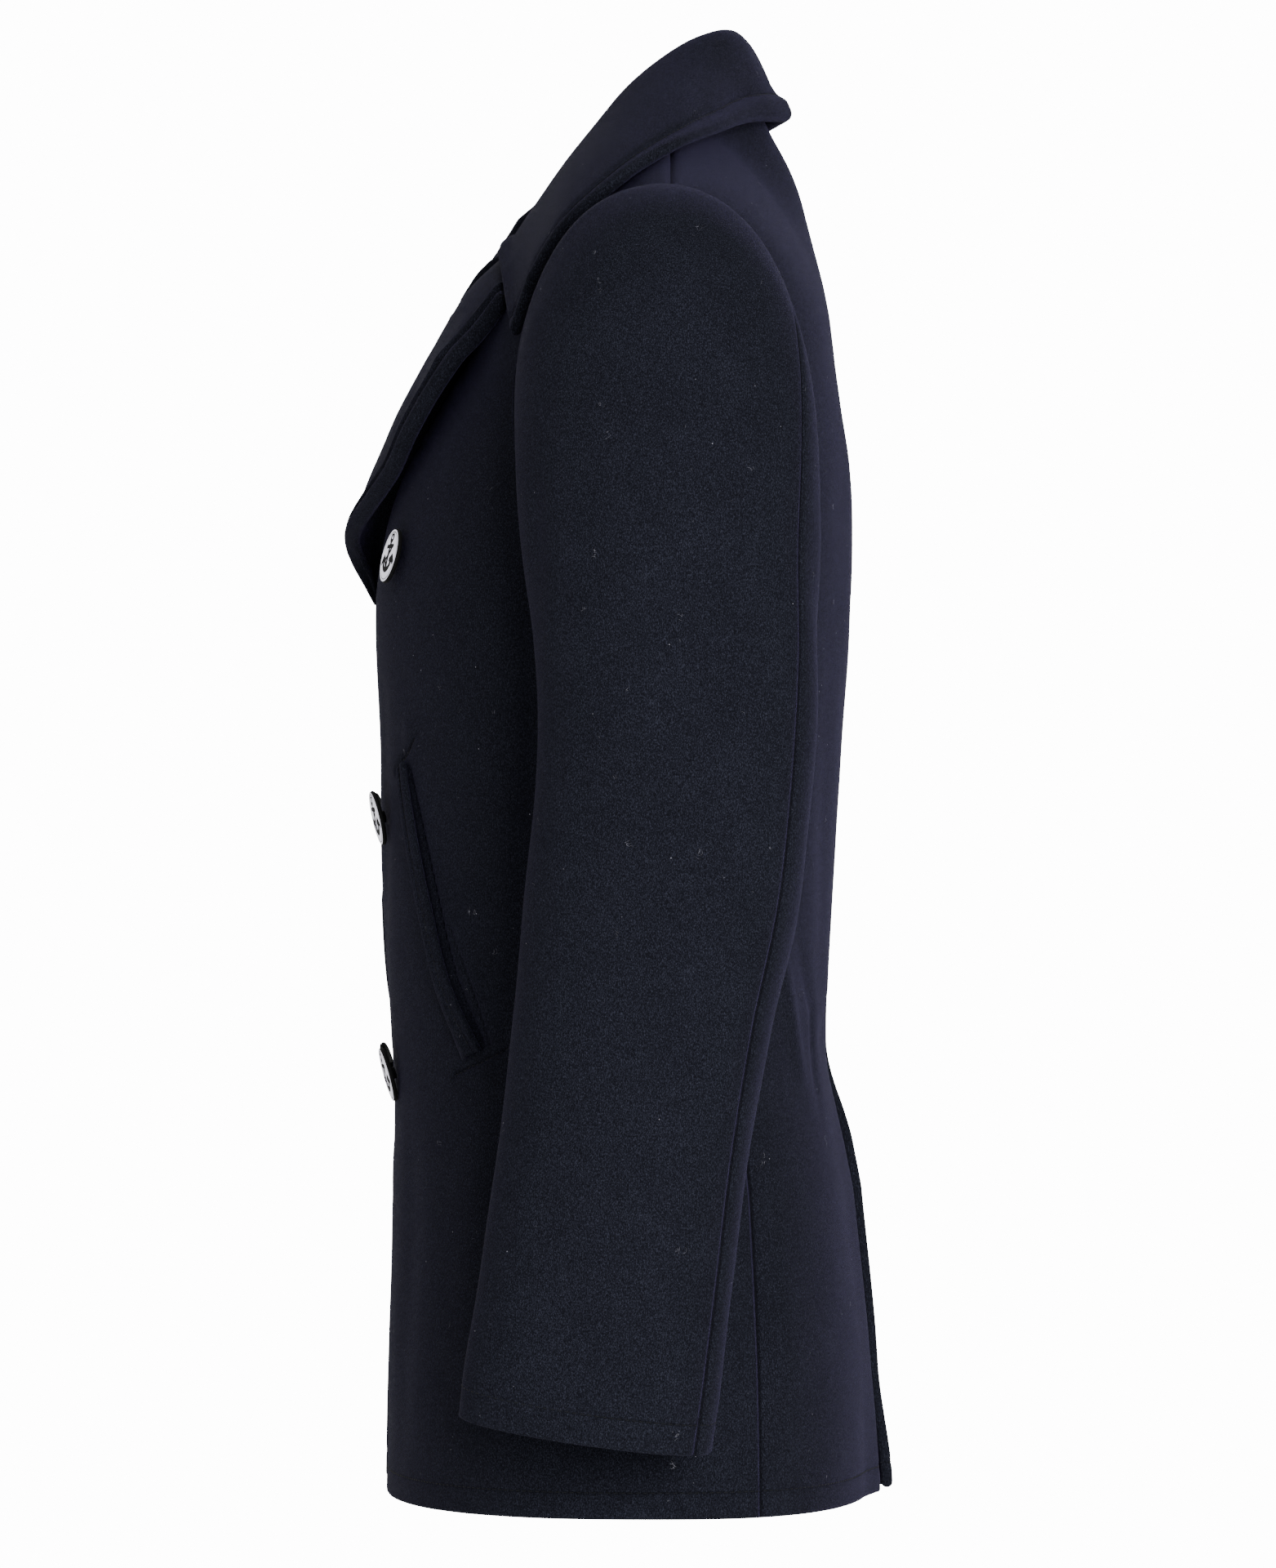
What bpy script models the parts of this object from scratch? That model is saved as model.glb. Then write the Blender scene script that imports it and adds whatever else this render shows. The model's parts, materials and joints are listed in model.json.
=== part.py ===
# Pea coat, double-breasted, worn form with no wearer.
# Metres, +Z up. The front of the coat faces -Y and the wearer's left is +X.
# The origin lies between the shoulders, level with the line that they carry.
#
# Each piece that a maker cuts is one closed wall of cloth. A wall is lofted from a point
# function of two shares: across the piece (0 to 1) and up or along it (0 to 1).

import math
from collections import namedtuple

import bmesh
import bpy
from mathutils import Matrix, Vector

# ---- driving dimensions ----
CLOTH = 0.003            # one layer of heavy melton
DOUBLE = 0.0046          # collar and lapels: two layers sewn together
SEAM = 0.0003            # space between two pieces at a seam
GORGE_EASE = 0.0032      # how much further off the neckline the collar's foot stands at the gorge
GORGE_GAP = 0.0024       # space between the collar's end and the lapel's top edge at the neckline
NOTCH_GAP = 0.0034       # and at the notch
ROLL_EASE = 0.0011       # how far the lapel's foot stands out from the front at the roll line
LAP = 0.0052             # how far a front or back panel sinks under the one that laps over it

HEM = -0.668
NECK_HALF = 0.075        # from the middle to where collar and shoulder seam meet
NECK_SIDE = 0.022        # height of that point
NECK_BACK = 0.032        # height of the neckline at the middle of the back
SHOULDER_FALL = 0.3154   # drop of the shoulder seam for each metre outwards
SHOULDER_Y = 0.0165      # the shoulder seam's place from front to back
SHOULDER_ROUND = 0.105   # drop below the seam over which the shoulder rounds to full depth

FRONT_EDGE = -0.075      # the left front's edge, past the middle on the wearer's right
BREAK = -0.214           # height where the lapel starts to turn back
ROLL_FOOT = -0.070       # the roll line, from here at the break
ROLL_HEAD = 0.047        # to here at the gorge
GORGE = -0.036

ARM_MIDDLE = (0.011, -0.127)   # armhole oval, seen from the side: middle in y and z
ARM_HALF = (0.070, 0.108)      # and its half sizes
ARM_STEPS = 24                 # corners of the armhole, and of every ring of the sleeve
UNDER_FROM = 60                # sleeve seams, in degrees from the outer line of the arm
UNDER_TO = 240

VENT = -0.443            # top of the vent
VENT_HEAD = 0.030        # the hollow above it
VENT_STAND = 0.0058      # how far the vent's edge stands off along its length
VENT_FLIP = 0.0067       # and how much more at its corner, which flips out at the hem
UNDERLAP = -0.030        # how far the left back runs under the right one
OVERLAP = -0.010         # how far the right back runs past the middle
EDGE_LIFT = 0.0030       # how far the left front's edge stands off beside the waist
WELT_STAND = 0.0028      # how far the free edge of a pocket's welt stands off at its middle

BUTTON = 0.028           # across
SHANK = 0.0026           # how far a button's back stands off the cloth
SHANK_HALF = 0.0030      # half its width
SHANK_GAP = 0.0007       # space under its foot
RIM = 0.0024             # height of a button's rim above its back
CROWN = 0.0030           # height of the middle of its face above its back

# ---- torso, seen as level sections: a row for each height ----
Section = namedtuple("Section", "z front back half middle front_round back_round")
TORSO = [
    Section(-0.670, -0.1275, 0.1180, 0.2220, 0.0100, 2.50, 2.50),
    Section(-0.598, -0.1265, 0.1160, 0.2170, 0.0100, 2.45, 2.50),
    Section(-0.514, -0.1245, 0.1080, 0.2085, 0.0100, 2.35, 2.50),
    Section(-0.472, -0.1245, 0.1005, 0.2045, 0.0100, 2.30, 2.45),
    Section(-0.439, -0.1260, 0.0970, 0.2020, 0.0100, 2.30, 2.40),
    Section(-0.368, -0.1300, 0.1000, 0.2010, 0.0105, 2.25, 2.40),
    Section(-0.305, -0.1315, 0.1040, 0.2035, 0.0110, 2.20, 2.40),
    Section(-0.217, -0.1335, 0.1090, 0.2095, 0.0120, 2.15, 2.35),
    Section(-0.180, -0.1280, 0.1100, 0.2105, 0.0125, 2.10, 2.40),
    Section(-0.150, -0.1180, 0.1090, 0.2110, 0.0133, 2.10, 2.40),
    Section(-0.120, -0.1025, 0.1045, 0.2110, 0.0140, 2.10, 2.45),
    Section(-0.090, -0.0840, 0.1005, 0.2110, 0.0145, 2.30, 2.60),
    Section(-0.065, -0.0685, 0.0965, 0.2110, 0.0150, 2.90, 2.90),
    Section(-0.030, -0.0460, 0.0890, 0.2110, 0.0155, 4.00, 3.50),
    Section(0.000, -0.0260, 0.0805, 0.2110, 0.0165, 4.00, 4.00),
    Section(0.036, -0.0050, 0.0640, 0.2110, 0.0165, 4.00, 4.00),
]

# ---- left sleeve: a row for each ring, by its outer and inner points ----
Ring = namedtuple("Ring", "outer_x outer_z inner_x inner_z front back drop")
SLEEVE = [
    Ring(0.2225, -0.0200, 0.2138, -0.2375, -0.0590, 0.0815, 0.0000),
    Ring(0.2420, -0.0255, 0.2142, -0.2430, -0.0590, 0.0840, 0.0000),
    Ring(0.2640, -0.0420, 0.2146, -0.2520, -0.0583, 0.0870, 0.0000),
    Ring(0.2820, -0.0720, 0.2150, -0.2640, -0.0570, 0.0890, 0.0000),
    Ring(0.2950, -0.1150, 0.2155, -0.2800, -0.0545, 0.0888, 0.0000),
    Ring(0.3030, -0.1700, 0.2160, -0.3000, -0.0500, 0.0868, 0.0000),
    Ring(0.3070, -0.2300, 0.2165, -0.3250, -0.0472, 0.0868, 0.0000),
    Ring(0.3085, -0.2950, 0.2175, -0.3570, -0.0492, 0.0835, 0.0000),
    Ring(0.3085, -0.3600, 0.2190, -0.3970, -0.0548, 0.0770, 0.0000),
    Ring(0.3070, -0.4250, 0.2215, -0.4430, -0.0605, 0.0640, 0.0000),
    Ring(0.3045, -0.4900, 0.2250, -0.4950, -0.0672, 0.0535, -0.0040),
    Ring(0.3015, -0.5500, 0.2290, -0.5480, -0.0745, 0.0462, -0.0100),
    Ring(0.2985, -0.6000, 0.2325, -0.5950, -0.0822, 0.0398, -0.0150),
    Ring(0.2965, -0.6270, 0.2345, -0.6200, -0.0855, 0.0358, -0.0175),
]
SLEEVE_ROUND = 2.1

# ---- collar, left half: a row for each station from the middle of the back to the gorge ----
Station = namedtuple("Station", "seam_x seam_z fold_x fold_y fold_z edge_x edge_y edge_z lift")
COLLAR = [
    Station(0.0000, 0.0320, 0.0000, 0.0500, 0.0745, 0.0000, 0.0765, 0.0300, 0.0),
    Station(0.0220, 0.0310, 0.0220, 0.0470, 0.0742, 0.0290, 0.0690, 0.0280, 0.0),
    Station(0.0420, 0.0284, 0.0420, 0.0390, 0.0715, 0.0650, 0.0560, 0.0240, 0.0),
    Station(0.0600, 0.0251, 0.0570, 0.0250, 0.0650, 0.1120, 0.0410, 0.0145, 0.0),
    Station(0.0750, 0.0220, 0.0650, 0.0095, 0.0540, 0.1500, 0.0250, 0.0055, 0.0),
    Station(0.0702, 0.0120, 0.0675, -0.0055, 0.0405, 0.1680, 0.0080, -0.0040, 0.0),
    Station(0.0649, 0.0010, 0.0665, -0.0190, 0.0250, 0.1780, -0.0130, -0.0170, 0.0),
    Station(0.0591, -0.0110, 0.0630, -0.0340, 0.0065, 0.1780, -0.0390, -0.0400, 0.1),
    Station(0.0528, -0.0240, 0.0570, -0.0490, -0.0150, 0.1745, -0.0550, -0.0650, 0.4),
]
COLLAR_POINT = (0.1700, -0.0635, -0.0920)
RIGHT_LIFT = (0.0, -0.0165, 0.0170)  # the wearer's right collar and lapel stand a little prouder

# ---- left lapel: a row from the gorge down to the break, by the outer edge ----
Turn = namedtuple("Turn", "roll_z edge_x edge_y edge_z stand lift")
LAPEL = [
    Turn(-0.0370, 0.1200, -0.0700, -0.0655, 0.0240, 1.0),
    Turn(-0.0550, 0.1280, -0.0815, -0.0835, 0.0280, 0.9),
    Turn(-0.0750, 0.1260, -0.0950, -0.0963, 0.0390, 0.8),
    Turn(-0.0950, 0.1210, -0.1065, -0.1119, 0.0415, 0.6),
    Turn(-0.1150, 0.1070, -0.1190, -0.1326, 0.0390, 0.4),
    Turn(-0.1350, 0.0840, -0.1285, -0.1511, 0.0350, 0.2),
    Turn(-0.1550, 0.0500, -0.1400, -0.1672, 0.0310, 0.0),
    Turn(-0.1720, 0.0200, -0.1470, -0.1800, 0.0260, 0.0),
    Turn(-0.1860, -0.0050, -0.1490, -0.1870, 0.0190, 0.0),
    Turn(-0.1980, -0.0260, -0.1455, -0.1965, 0.0140, 0.0),
    Turn(-0.2070, -0.0460, -0.1400, -0.2060, 0.0100, 0.0),
]
RIGHT_LAPEL_LAST = 6     # the right lapel goes under the left front after this row

# ---- pocket welt on the left front: its slit, top to bottom, and its width ----
POCKET_TOP = (0.108, -0.298)
POCKET_FOOT = (0.169, -0.442)
WELT_WIDTH = 0.019

# ---- buttons: column, height and nod of the face in degrees ----
Button = namedtuple("Button", "name x z nod")
BUTTONS = [
    Button("button_left_1", 0.092, -0.197, 4.0),
    Button("button_left_2", 0.062, -0.326, -12.0),
    Button("button_left_3", 0.062, -0.455, -13.0),
    Button("button_right_1", -0.088, -0.197, 2.0),
    Button("button_right_2", -0.055, -0.326, -10.0),
    Button("button_right_3", -0.055, -0.455, -12.0),
]


# ---- small tools ----
def smooth(share):
    share = min(max(share, 0.0), 1.0)
    return share * share * (3 - 2 * share)


def mix(a, b, share):
    return a + (b - a) * share


def ease(rows, place):
    """A row of a table read at a place between whole rows, on a smooth curve."""
    last = len(rows) - 1
    place = min(max(place, 0.0), float(last))
    i = min(int(place), last - 1)
    t = place - i
    before, here, there, after = (rows[min(max(k, 0), last)] for k in (i - 1, i, i + 1, i + 2))
    values = []
    for p, q, r, s in zip(before, here, there, after):
        pull = (r - p) / 2
        push = (s - q) / 2
        values.append((2 * t**3 - 3 * t**2 + 1) * q + (t**3 - 2 * t**2 + t) * pull
                      + (3 * t**2 - 2 * t**3) * r + (t**3 - t**2) * push)
    return type(rows[0])(*values)


def bezier(p0, p1, p2, p3, t):
    s = 1 - t
    return p0 * s**3 + p1 * 3 * s * s * t + p2 * 3 * s * t * t + p3 * t**3


def mirrored(point):
    return Vector((-point.x, point.y, point.z))


# ---- the torso ----
def section(z):
    """The torso's section at a height, between its two nearest rows."""
    z = min(max(z, TORSO[0].z), TORSO[-1].z)
    i = max(k for k in range(len(TORSO) - 1) if TORSO[k].z <= z)
    return ease(TORSO, i + (z - TORSO[i].z) / (TORSO[i + 1].z - TORSO[i].z))


def shoulder_height(x):
    return NECK_SIDE - SHOULDER_FALL * (abs(x) - NECK_HALF)


def neck_height(x):
    return NECK_SIDE + (NECK_BACK - NECK_SIDE) * math.cos(math.pi / 2 * min(abs(x) / NECK_HALF, 1))


def torso(angle, z):
    """Outer face of the torso: 0 at the wearer's left side, -90 front, 90 back (degrees)."""
    row = section(z)
    turn = math.radians(angle)
    across, along = math.cos(turn), math.sin(turn)
    curve = 2 / (row.front_round if along < 0 else row.back_round)
    reach = (row.front if along < 0 else row.back) - row.middle
    x = math.copysign(row.half * abs(across) ** curve, across)
    y = row.middle + reach * abs(along) ** curve
    below = min(max((shoulder_height(x) - z) / SHOULDER_ROUND, 0.0), 1.0)
    fullness = mix(1.0, math.sqrt(1 - (1 - below) ** 2), smooth(abs(x) / NECK_HALF))
    return Vector((x, SHOULDER_Y + (y - SHOULDER_Y) * fullness, z))


def angle_at(x, z, back=False):
    """The angle of the front or the back at a distance from the middle."""
    row = section(z)
    power = (row.back_round if back else row.front_round) / 2
    share = min(abs(x) / row.half, 1.0)
    angle = math.degrees(math.acos(math.copysign(share ** power, x)))
    return angle if back else -angle


def torso_at(x, z, back=False):
    return torso(angle_at(x, z, back), z)


def torso_out(x, z, back=False):
    """The torso's outward direction at a point."""
    step = 0.002
    across = torso_at(x + step, z, back) - torso_at(x - step, z, back)
    up = torso_at(x, z + step, back) - torso_at(x, z - step, back)
    out = across.cross(up).normalized()
    return -out if back else out


def side_x(y, z):
    """How far out the torso is at a place on its side, found by halving."""
    low, high = (-90.0, 0.0) if y < torso(0.0, z).y else (0.0, 90.0)
    for _ in range(40):
        half = (low + high) / 2
        if torso(half, z).y < y:
            low = half
        else:
            high = half
    return torso((low + high) / 2, z).x


# ---- panels of the body ----
def roll_x(z):
    """The front's inner edge: straight below the break, then the roll line and the neckline."""
    if z < BREAK:
        return mix(FRONT_EDGE, ROLL_FOOT, smooth((z - BREAK + 0.02) / 0.02))
    if z < GORGE:
        return mix(ROLL_FOOT, ROLL_HEAD, (z - BREAK) / (GORGE - BREAK))
    return mix(ROLL_HEAD, NECK_HALF, (z - GORGE) / (NECK_SIDE - GORGE))


def vent_x(z, under):
    """The back's inner edge: the middle seam, and the lap below the top of the vent."""
    if z > VENT:
        return SEAM / 2
    return mix(SEAM / 2, UNDERLAP if under else OVERLAP, smooth((VENT - z) / 0.006))


SIDE_SEAM = 23.0         # degrees behind the side
SIDE_GAP = 0.14          # degrees that give the seam's space


def front_end(z):
    return mix(SIDE_SEAM - SIDE_GAP, -8.0, smooth((z + 0.205) / 0.13))


def back_end(z):
    return mix(SIDE_SEAM + SIDE_GAP, 8.0, smooth((z + 0.205) / 0.13))


def panel_point(across, up, inner, end, back):
    """A point of a panel, on a column that runs from the hem to the neckline or shoulder."""
    def on_column(share):
        z = mix(HEM, 0.0, share)
        for _ in range(12):
            angle = mix(angle_at(inner(z), z, back), end(z), across)
            x = torso(angle, z).x
            top = neck_height(x) if back and abs(x) < NECK_HALF else shoulder_height(x)
            z = mix(HEM, top, share)
        return torso(angle, z)
    return on_column(up)


def shoulder_gap(x, z):
    """Half the space at the shoulder seam, gone a little way below it."""
    return 1.7 * SEAM * (1 - smooth((shoulder_height(x) - z) / 0.02))


def front_edge_lift(x, z):
    """The left front's edge stands off a little beside the waist."""
    beside_waist = smooth((-0.26 - z) / 0.10) * smooth((z + 0.56) / 0.10)
    return EDGE_LIFT * smooth((-0.030 - x) / 0.040) * beside_waist


def front_sink(x, z):
    """How far the right front lies under the left one, at a distance from the middle."""
    cover = -roll_x(z - 0.035)
    return LAP * (1 - smooth((x - cover - 0.012) / 0.022)) * smooth((-0.06 - z) / 0.04)


def front_point(across, up, under):
    point = panel_point(across, up, roll_x, front_end, False)
    x, z = point.x, point.z
    point.y -= shoulder_gap(x, z)
    point.y += front_sink(x, z) if under else -front_edge_lift(x, z)
    return point


def back_point(across, up, under):
    point = panel_point(across, up, lambda z: vent_x(z, under), back_end, True)
    x, z = point.x, point.z
    point.y += shoulder_gap(x, z)
    if under:
        # it sinks a little above the vent, which gives the hollow at the vent's head
        low = smooth((VENT + VENT_HEAD - z) / (VENT_HEAD - 0.002))
        point.y -= LAP * low * (1 - smooth((x - 0.022) / 0.022))
        return point
    open_share = (VENT - z) / (VENT - HEM)
    stand = VENT_STAND * smooth(open_share / 0.22) + VENT_FLIP * smooth((open_share - 0.72) / 0.28)
    point.y += stand * (1 - smooth((x + 0.010) / 0.050))
    return point


# ---- sleeve ----
def armhole_point(angle, out):
    """A corner of the armhole seam, moved out along X from the torso's face."""
    turn = math.radians(angle)
    y = ARM_MIDDLE[0] + (ARM_HALF[0] - SEAM) * math.sin(turn)
    z = ARM_MIDDLE[1] + (ARM_HALF[1] - SEAM) * math.cos(turn)
    return Vector((side_x(y, z) + out, y, z))


def ring_point(place, angle):
    ring = ease(SLEEVE, place)
    turn = math.radians(angle)
    out, back = math.cos(turn), math.sin(turn)
    out = math.copysign(abs(out) ** (2 / SLEEVE_ROUND), out)
    back = math.copysign(abs(back) ** (2 / SLEEVE_ROUND), back)
    x = mix(ring.inner_x, ring.outer_x, (1 + out) / 2)
    z = mix(ring.inner_z, ring.outer_z, (1 + out) / 2) + ring.drop * back / 2
    y = mix(ring.front, ring.back, (1 + back) / 2)
    return Vector((x, y, z))


def sleeve_point(angle, place):
    """A point of the sleeve: place 0 and 1 are in the armhole, 2 and on are the rings."""
    if place <= 1:
        return armhole_point(angle, mix(-0.0025, 0.0008, place))
    seam = armhole_point(angle, 0.0008)
    if place < 2:
        return seam.lerp(ring_point(0, angle), place - 1)
    return ring_point(place - 2, angle)


# ---- collar and lapels ----
def seam_point(row, back):
    return torso_at(row.seam_x, row.seam_z, back)


def fold_path(foot, fold, edge, share, fold_share, out_reach, sag):
    """Across a folded strip: up from its foot, over the fold and down to its edge."""
    level = Vector((edge.x - foot.x, edge.y - foot.y, 0.0)).normalized()
    if share < fold_share:
        rise = Vector((0, 0, (fold.z - foot.z) * 0.45))
        return bezier(foot, foot + rise, fold - level * out_reach, fold, share / fold_share)
    fall = (share - fold_share) / (1 - fold_share)
    drop = Vector((0, 0, abs(fold.z - edge.z) * 0.45)) - level * sag
    return bezier(fold, fold + level * out_reach, edge + drop, edge, fall)


FOLD_SHARE = 0.36


def lift_by(lift, wearer_right):
    return Vector(RIGHT_LIFT) * (lift if wearer_right else 0.0)


def collar_row(station, share, wearer_right):
    row = ease(COLLAR, station)
    back = station <= 4
    seam = seam_point(row, back)
    inward = Vector((-seam.x, 0.010 - seam.y, 0.0)).normalized()
    beside_gorge = smooth((station - 5) / 2.5)
    foot = seam + inward * (DOUBLE + SEAM + GORGE_EASE * beside_gorge) + Vector((0, 0, SEAM))
    move = lift_by(row.lift, wearer_right)
    fold = Vector((row.fold_x, row.fold_y, row.fold_z)) + move
    edge = Vector((row.edge_x, row.edge_y, row.edge_z)) + move
    sag = mix(0.009, 0.016, smooth(station / 3))
    return fold_path(foot, fold, edge, share, FOLD_SHARE, 0.010, sag)


def lapel_foot(z, wearer_right):
    x = roll_x(z)
    if wearer_right:
        x = max(x, 0.007 - x)
    return torso_at(x, z) + torso_out(x, z) * ROLL_EASE


def lapel_row(place, share, wearer_right):
    row = ease(LAPEL, place)
    foot = lapel_foot(row.roll_z, wearer_right)
    edge = Vector((row.edge_x, row.edge_y, row.edge_z)) + lift_by(row.lift, wearer_right)
    if wearer_right:
        edge.y += 0.006 * smooth(place / RIGHT_LAPEL_LAST)
    width = (edge - foot).length
    stand = min(row.stand, width * 0.45)
    out = Vector((-0.10, -1.0, 0.10)).normalized() * stand
    side = (foot - edge).normalized() * width * 0.30
    return bezier(foot, foot + out, edge + side + Vector((0, -0.004, 0)), edge, share)


GORGE_SHARE = 0.80       # share of the lapel's top edge that is sewn to the collar


def collar_end(share, wearer_right):
    """The collar's front end: along the gorge seam to the notch, then its free edge."""
    notch_share = 0.66
    if share <= notch_share:
        sewn = share / notch_share
        off = Vector((0, -GORGE_EASE * (1 - sewn), mix(GORGE_GAP, NOTCH_GAP, sewn)))
        return lapel_row(0, sewn * GORGE_SHARE, wearer_right) + off
    notch = lapel_row(0, GORGE_SHARE, wearer_right) + Vector((0, 0, NOTCH_GAP))
    point = Vector(COLLAR_POINT) + lift_by(1.0, wearer_right)
    return notch.lerp(point, (share - notch_share) / (1 - notch_share))


def collar_point(share, along):
    """Along runs from -1, the wearer's right gorge, to 1, the left one."""
    wearer_right = along < 0
    station = abs(along) * len(COLLAR)
    last = len(COLLAR) - 1
    if station <= last:
        point = collar_row(station, share, wearer_right)
    else:
        end = collar_end(share, wearer_right)
        point = collar_row(last, share, wearer_right).lerp(end, station - last)
    return mirrored(point) if wearer_right else point


# ---- building ----
def new_material(name, colour, roughness, metallic):
    material = bpy.data.materials.new(name)
    material.use_nodes = True
    shader = material.node_tree.nodes["Principled BSDF"]
    shader.inputs["Base Color"].default_value = (*colour, 1.0)
    shader.inputs["Roughness"].default_value = roughness
    shader.inputs["Metallic"].default_value = metallic
    return material


def add_object(name, mesh, collection, material=None):
    made = bpy.data.objects.new(name, mesh)
    collection.objects.link(made)
    if material:
        mesh.materials.append(material)
    return made


NUDGE = 2e-4             # share of a piece's size over which its slope is taken


def wall(name, point, shares_across, shares_along, thick, facing, collection, material):
    """A closed wall of cloth: its outer face from a point function, its inner face moved in."""
    def inward(u, v):
        first, last = shares_across[0], shares_across[-1]
        low, high = shares_along[0], shares_along[-1]
        u0, u1 = max(u - NUDGE * (last - first), first), min(u + NUDGE * (last - first), last)
        v0, v1 = max(v - NUDGE * (high - low), low), min(v + NUDGE * (high - low), high)
        normal = (point(u1, v) - point(u0, v)).cross(point(u, v1) - point(u, v0))
        return normal.normalized() * -facing * thick

    build = bmesh.new()
    outer = [[point(u, v) for u in shares_across] for v in shares_along]
    faces = []
    for shift in (0, 1):
        grid = []
        for v, line in zip(shares_along, outer):
            moved = [p + inward(u, v) * shift for u, p in zip(shares_across, line)]
            grid.append([build.verts.new(p) for p in moved])
        faces.append(grid)
    rows, columns = len(shares_along), len(shares_across)
    for grid in faces:
        for j in range(rows - 1):
            for i in range(columns - 1):
                build.faces.new((grid[j][i], grid[j][i + 1], grid[j + 1][i + 1], grid[j + 1][i]))
    rim = [(0, i) for i in range(columns)]
    rim += [(j, columns - 1) for j in range(1, rows)]
    rim += [(rows - 1, i) for i in range(columns - 2, -1, -1)]
    rim += [(j, 0) for j in range(rows - 2, 0, -1)]
    for (j0, i0), (j1, i1) in zip(rim, rim[1:] + rim[:1]):
        build.faces.new((faces[0][j0][i0], faces[0][j1][i1], faces[1][j1][i1], faces[1][j0][i0]))
    bmesh.ops.recalc_face_normals(build, faces=build.faces)
    mesh = bpy.data.meshes.new(name)
    build.to_mesh(mesh)
    build.free()
    mesh.shade_smooth()
    mesh.set_sharp_from_angle(angle=math.radians(40))
    return add_object(name, mesh, collection, material)


def spread(start, stop, steps):
    return [mix(start, stop, k / steps) for k in range(steps + 1)]


def shares_from_heights(heights, top):
    return [(z - HEM) / (top - HEM) for z in heights]


FRONT_HEIGHTS = [HEM, -0.635, -0.595, -0.553, -0.512, -0.472, -0.435, -0.395, -0.355, -0.315,
                 -0.275, -0.240, -0.214, -0.195, -0.176, -0.156, -0.134, -0.106, -0.080, -0.056, -0.034,
                 -0.014, 0.003, 0.013, 0.0185, 0.0212, NECK_SIDE]
BACK_HEIGHTS = [HEM, -0.645, -0.615, -0.575, -0.530, -0.485, -0.4505, VENT, -0.400, -0.355,
                -0.305, -0.255, -0.210, -0.165, -0.125, -0.090, -0.060, -0.034, -0.012, 0.005,
                0.017, 0.0250, 0.0296, NECK_BACK]
FRONT_SHARES = spread(0, 1, 17)
BACK_SHARES = [0.0, 0.05, 0.14, 0.26, 0.39, 0.53, 0.67, 0.80, 0.91, 1.0]


def armhole_cutter(name, side, collection):
    """An oval bar along X through one armhole, with the same corners as the sleeve."""
    build = bmesh.new()
    bmesh.ops.create_cone(build, cap_ends=True, segments=ARM_STEPS, radius1=1, radius2=1, depth=0.16)
    turned = Matrix.Rotation(math.pi / 2, 4, "Y")
    bmesh.ops.transform(build, matrix=turned, verts=build.verts)
    sized = Matrix.Diagonal((1, ARM_HALF[0], ARM_HALF[1], 1))
    bmesh.ops.transform(build, matrix=sized, verts=build.verts)
    mesh = bpy.data.meshes.new(name)
    build.to_mesh(mesh)
    build.free()
    cutter = add_object(name, mesh, collection)
    cutter.location = (side * 0.215, ARM_MIDDLE[0], ARM_MIDDLE[1])
    cutter.display_type = "WIRE"
    cutter.hide_render = True
    return cutter


def make_body(parts, cutters, melton):
    top_front = shares_from_heights(FRONT_HEIGHTS, NECK_SIDE)
    top_back = shares_from_heights(BACK_HEIGHTS, NECK_BACK)
    bars = {side: armhole_cutter("armhole_" + name, side, cutters)
            for name, side in (("left", 1), ("right", -1))}

    def front_left(u, v):
        return front_point(u, v, under=False)

    def front_right(u, v):
        return mirrored(front_point(u, v, under=True))

    def back_left(u, v):
        return back_point(u, v, under=True)

    def back_right(u, v):
        return mirrored(back_point(u, v, under=False))

    made = [
        (wall("front_left", front_left, FRONT_SHARES, top_front, CLOTH, 1, parts, melton), 1),
        (wall("front_right", front_right, FRONT_SHARES, top_front, CLOTH, -1, parts, melton), -1),
        (wall("back_left", back_left, BACK_SHARES, top_back, CLOTH, -1, parts, melton), 1),
        (wall("back_right", back_right, BACK_SHARES, top_back, CLOTH, 1, parts, melton), -1),
    ]
    for panel, side in made:
        cut = panel.modifiers.new("armhole", "BOOLEAN")
        cut.operation = "DIFFERENCE"
        cut.solver = "EXACT"
        cut.object = bars[side]


def make_sleeves(parts, melton):
    rows = [0, 1] + [k + 2 for k in range(len(SLEEVE))]
    gap = 0.12           # degrees left open at each sleeve seam
    half = (UNDER_TO - UNDER_FROM) // (360 // ARM_STEPS)
    pieces = {"sleeve_upper": (UNDER_TO - 360, UNDER_FROM), "sleeve_under": (UNDER_FROM, UNDER_TO)}
    for name, (start, stop) in pieces.items():
        angles = spread(start, stop, half)
        angles[0] += gap
        angles[-1] -= gap
        wall(name + "_left", sleeve_point, angles, rows, CLOTH, -1, parts, melton)
        wall(name + "_right", lambda a, t: mirrored(sleeve_point(a, t)), angles, rows, CLOTH, 1,
             parts, melton)


def make_collar(parts, melton):
    across = [0, 0.10, 0.20, 0.28, 0.33, FOLD_SHARE, 0.39, 0.45, 0.56, 0.68, 0.80, 0.91, 1.0]
    stations = len(COLLAR)
    along = [k / stations for k in range(-stations, stations + 1)]
    wall("collar", collar_point, across, along, DOUBLE, -1, parts, melton)


def make_lapels(parts, melton):
    across = [0, 0.12, 0.25, 0.40, 0.58, 0.78, 1.0]
    left_rows = list(range(len(LAPEL)))
    right_rows = list(range(RIGHT_LAPEL_LAST + 1))
    wall("lapel_left", lambda u, v: lapel_row(v, u, False), across, left_rows, DOUBLE, -1,
         parts, melton)
    wall("lapel_right", lambda u, v: mirrored(lapel_row(v, u, True)), across, right_rows, DOUBLE, 1,
         parts, melton)


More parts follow.
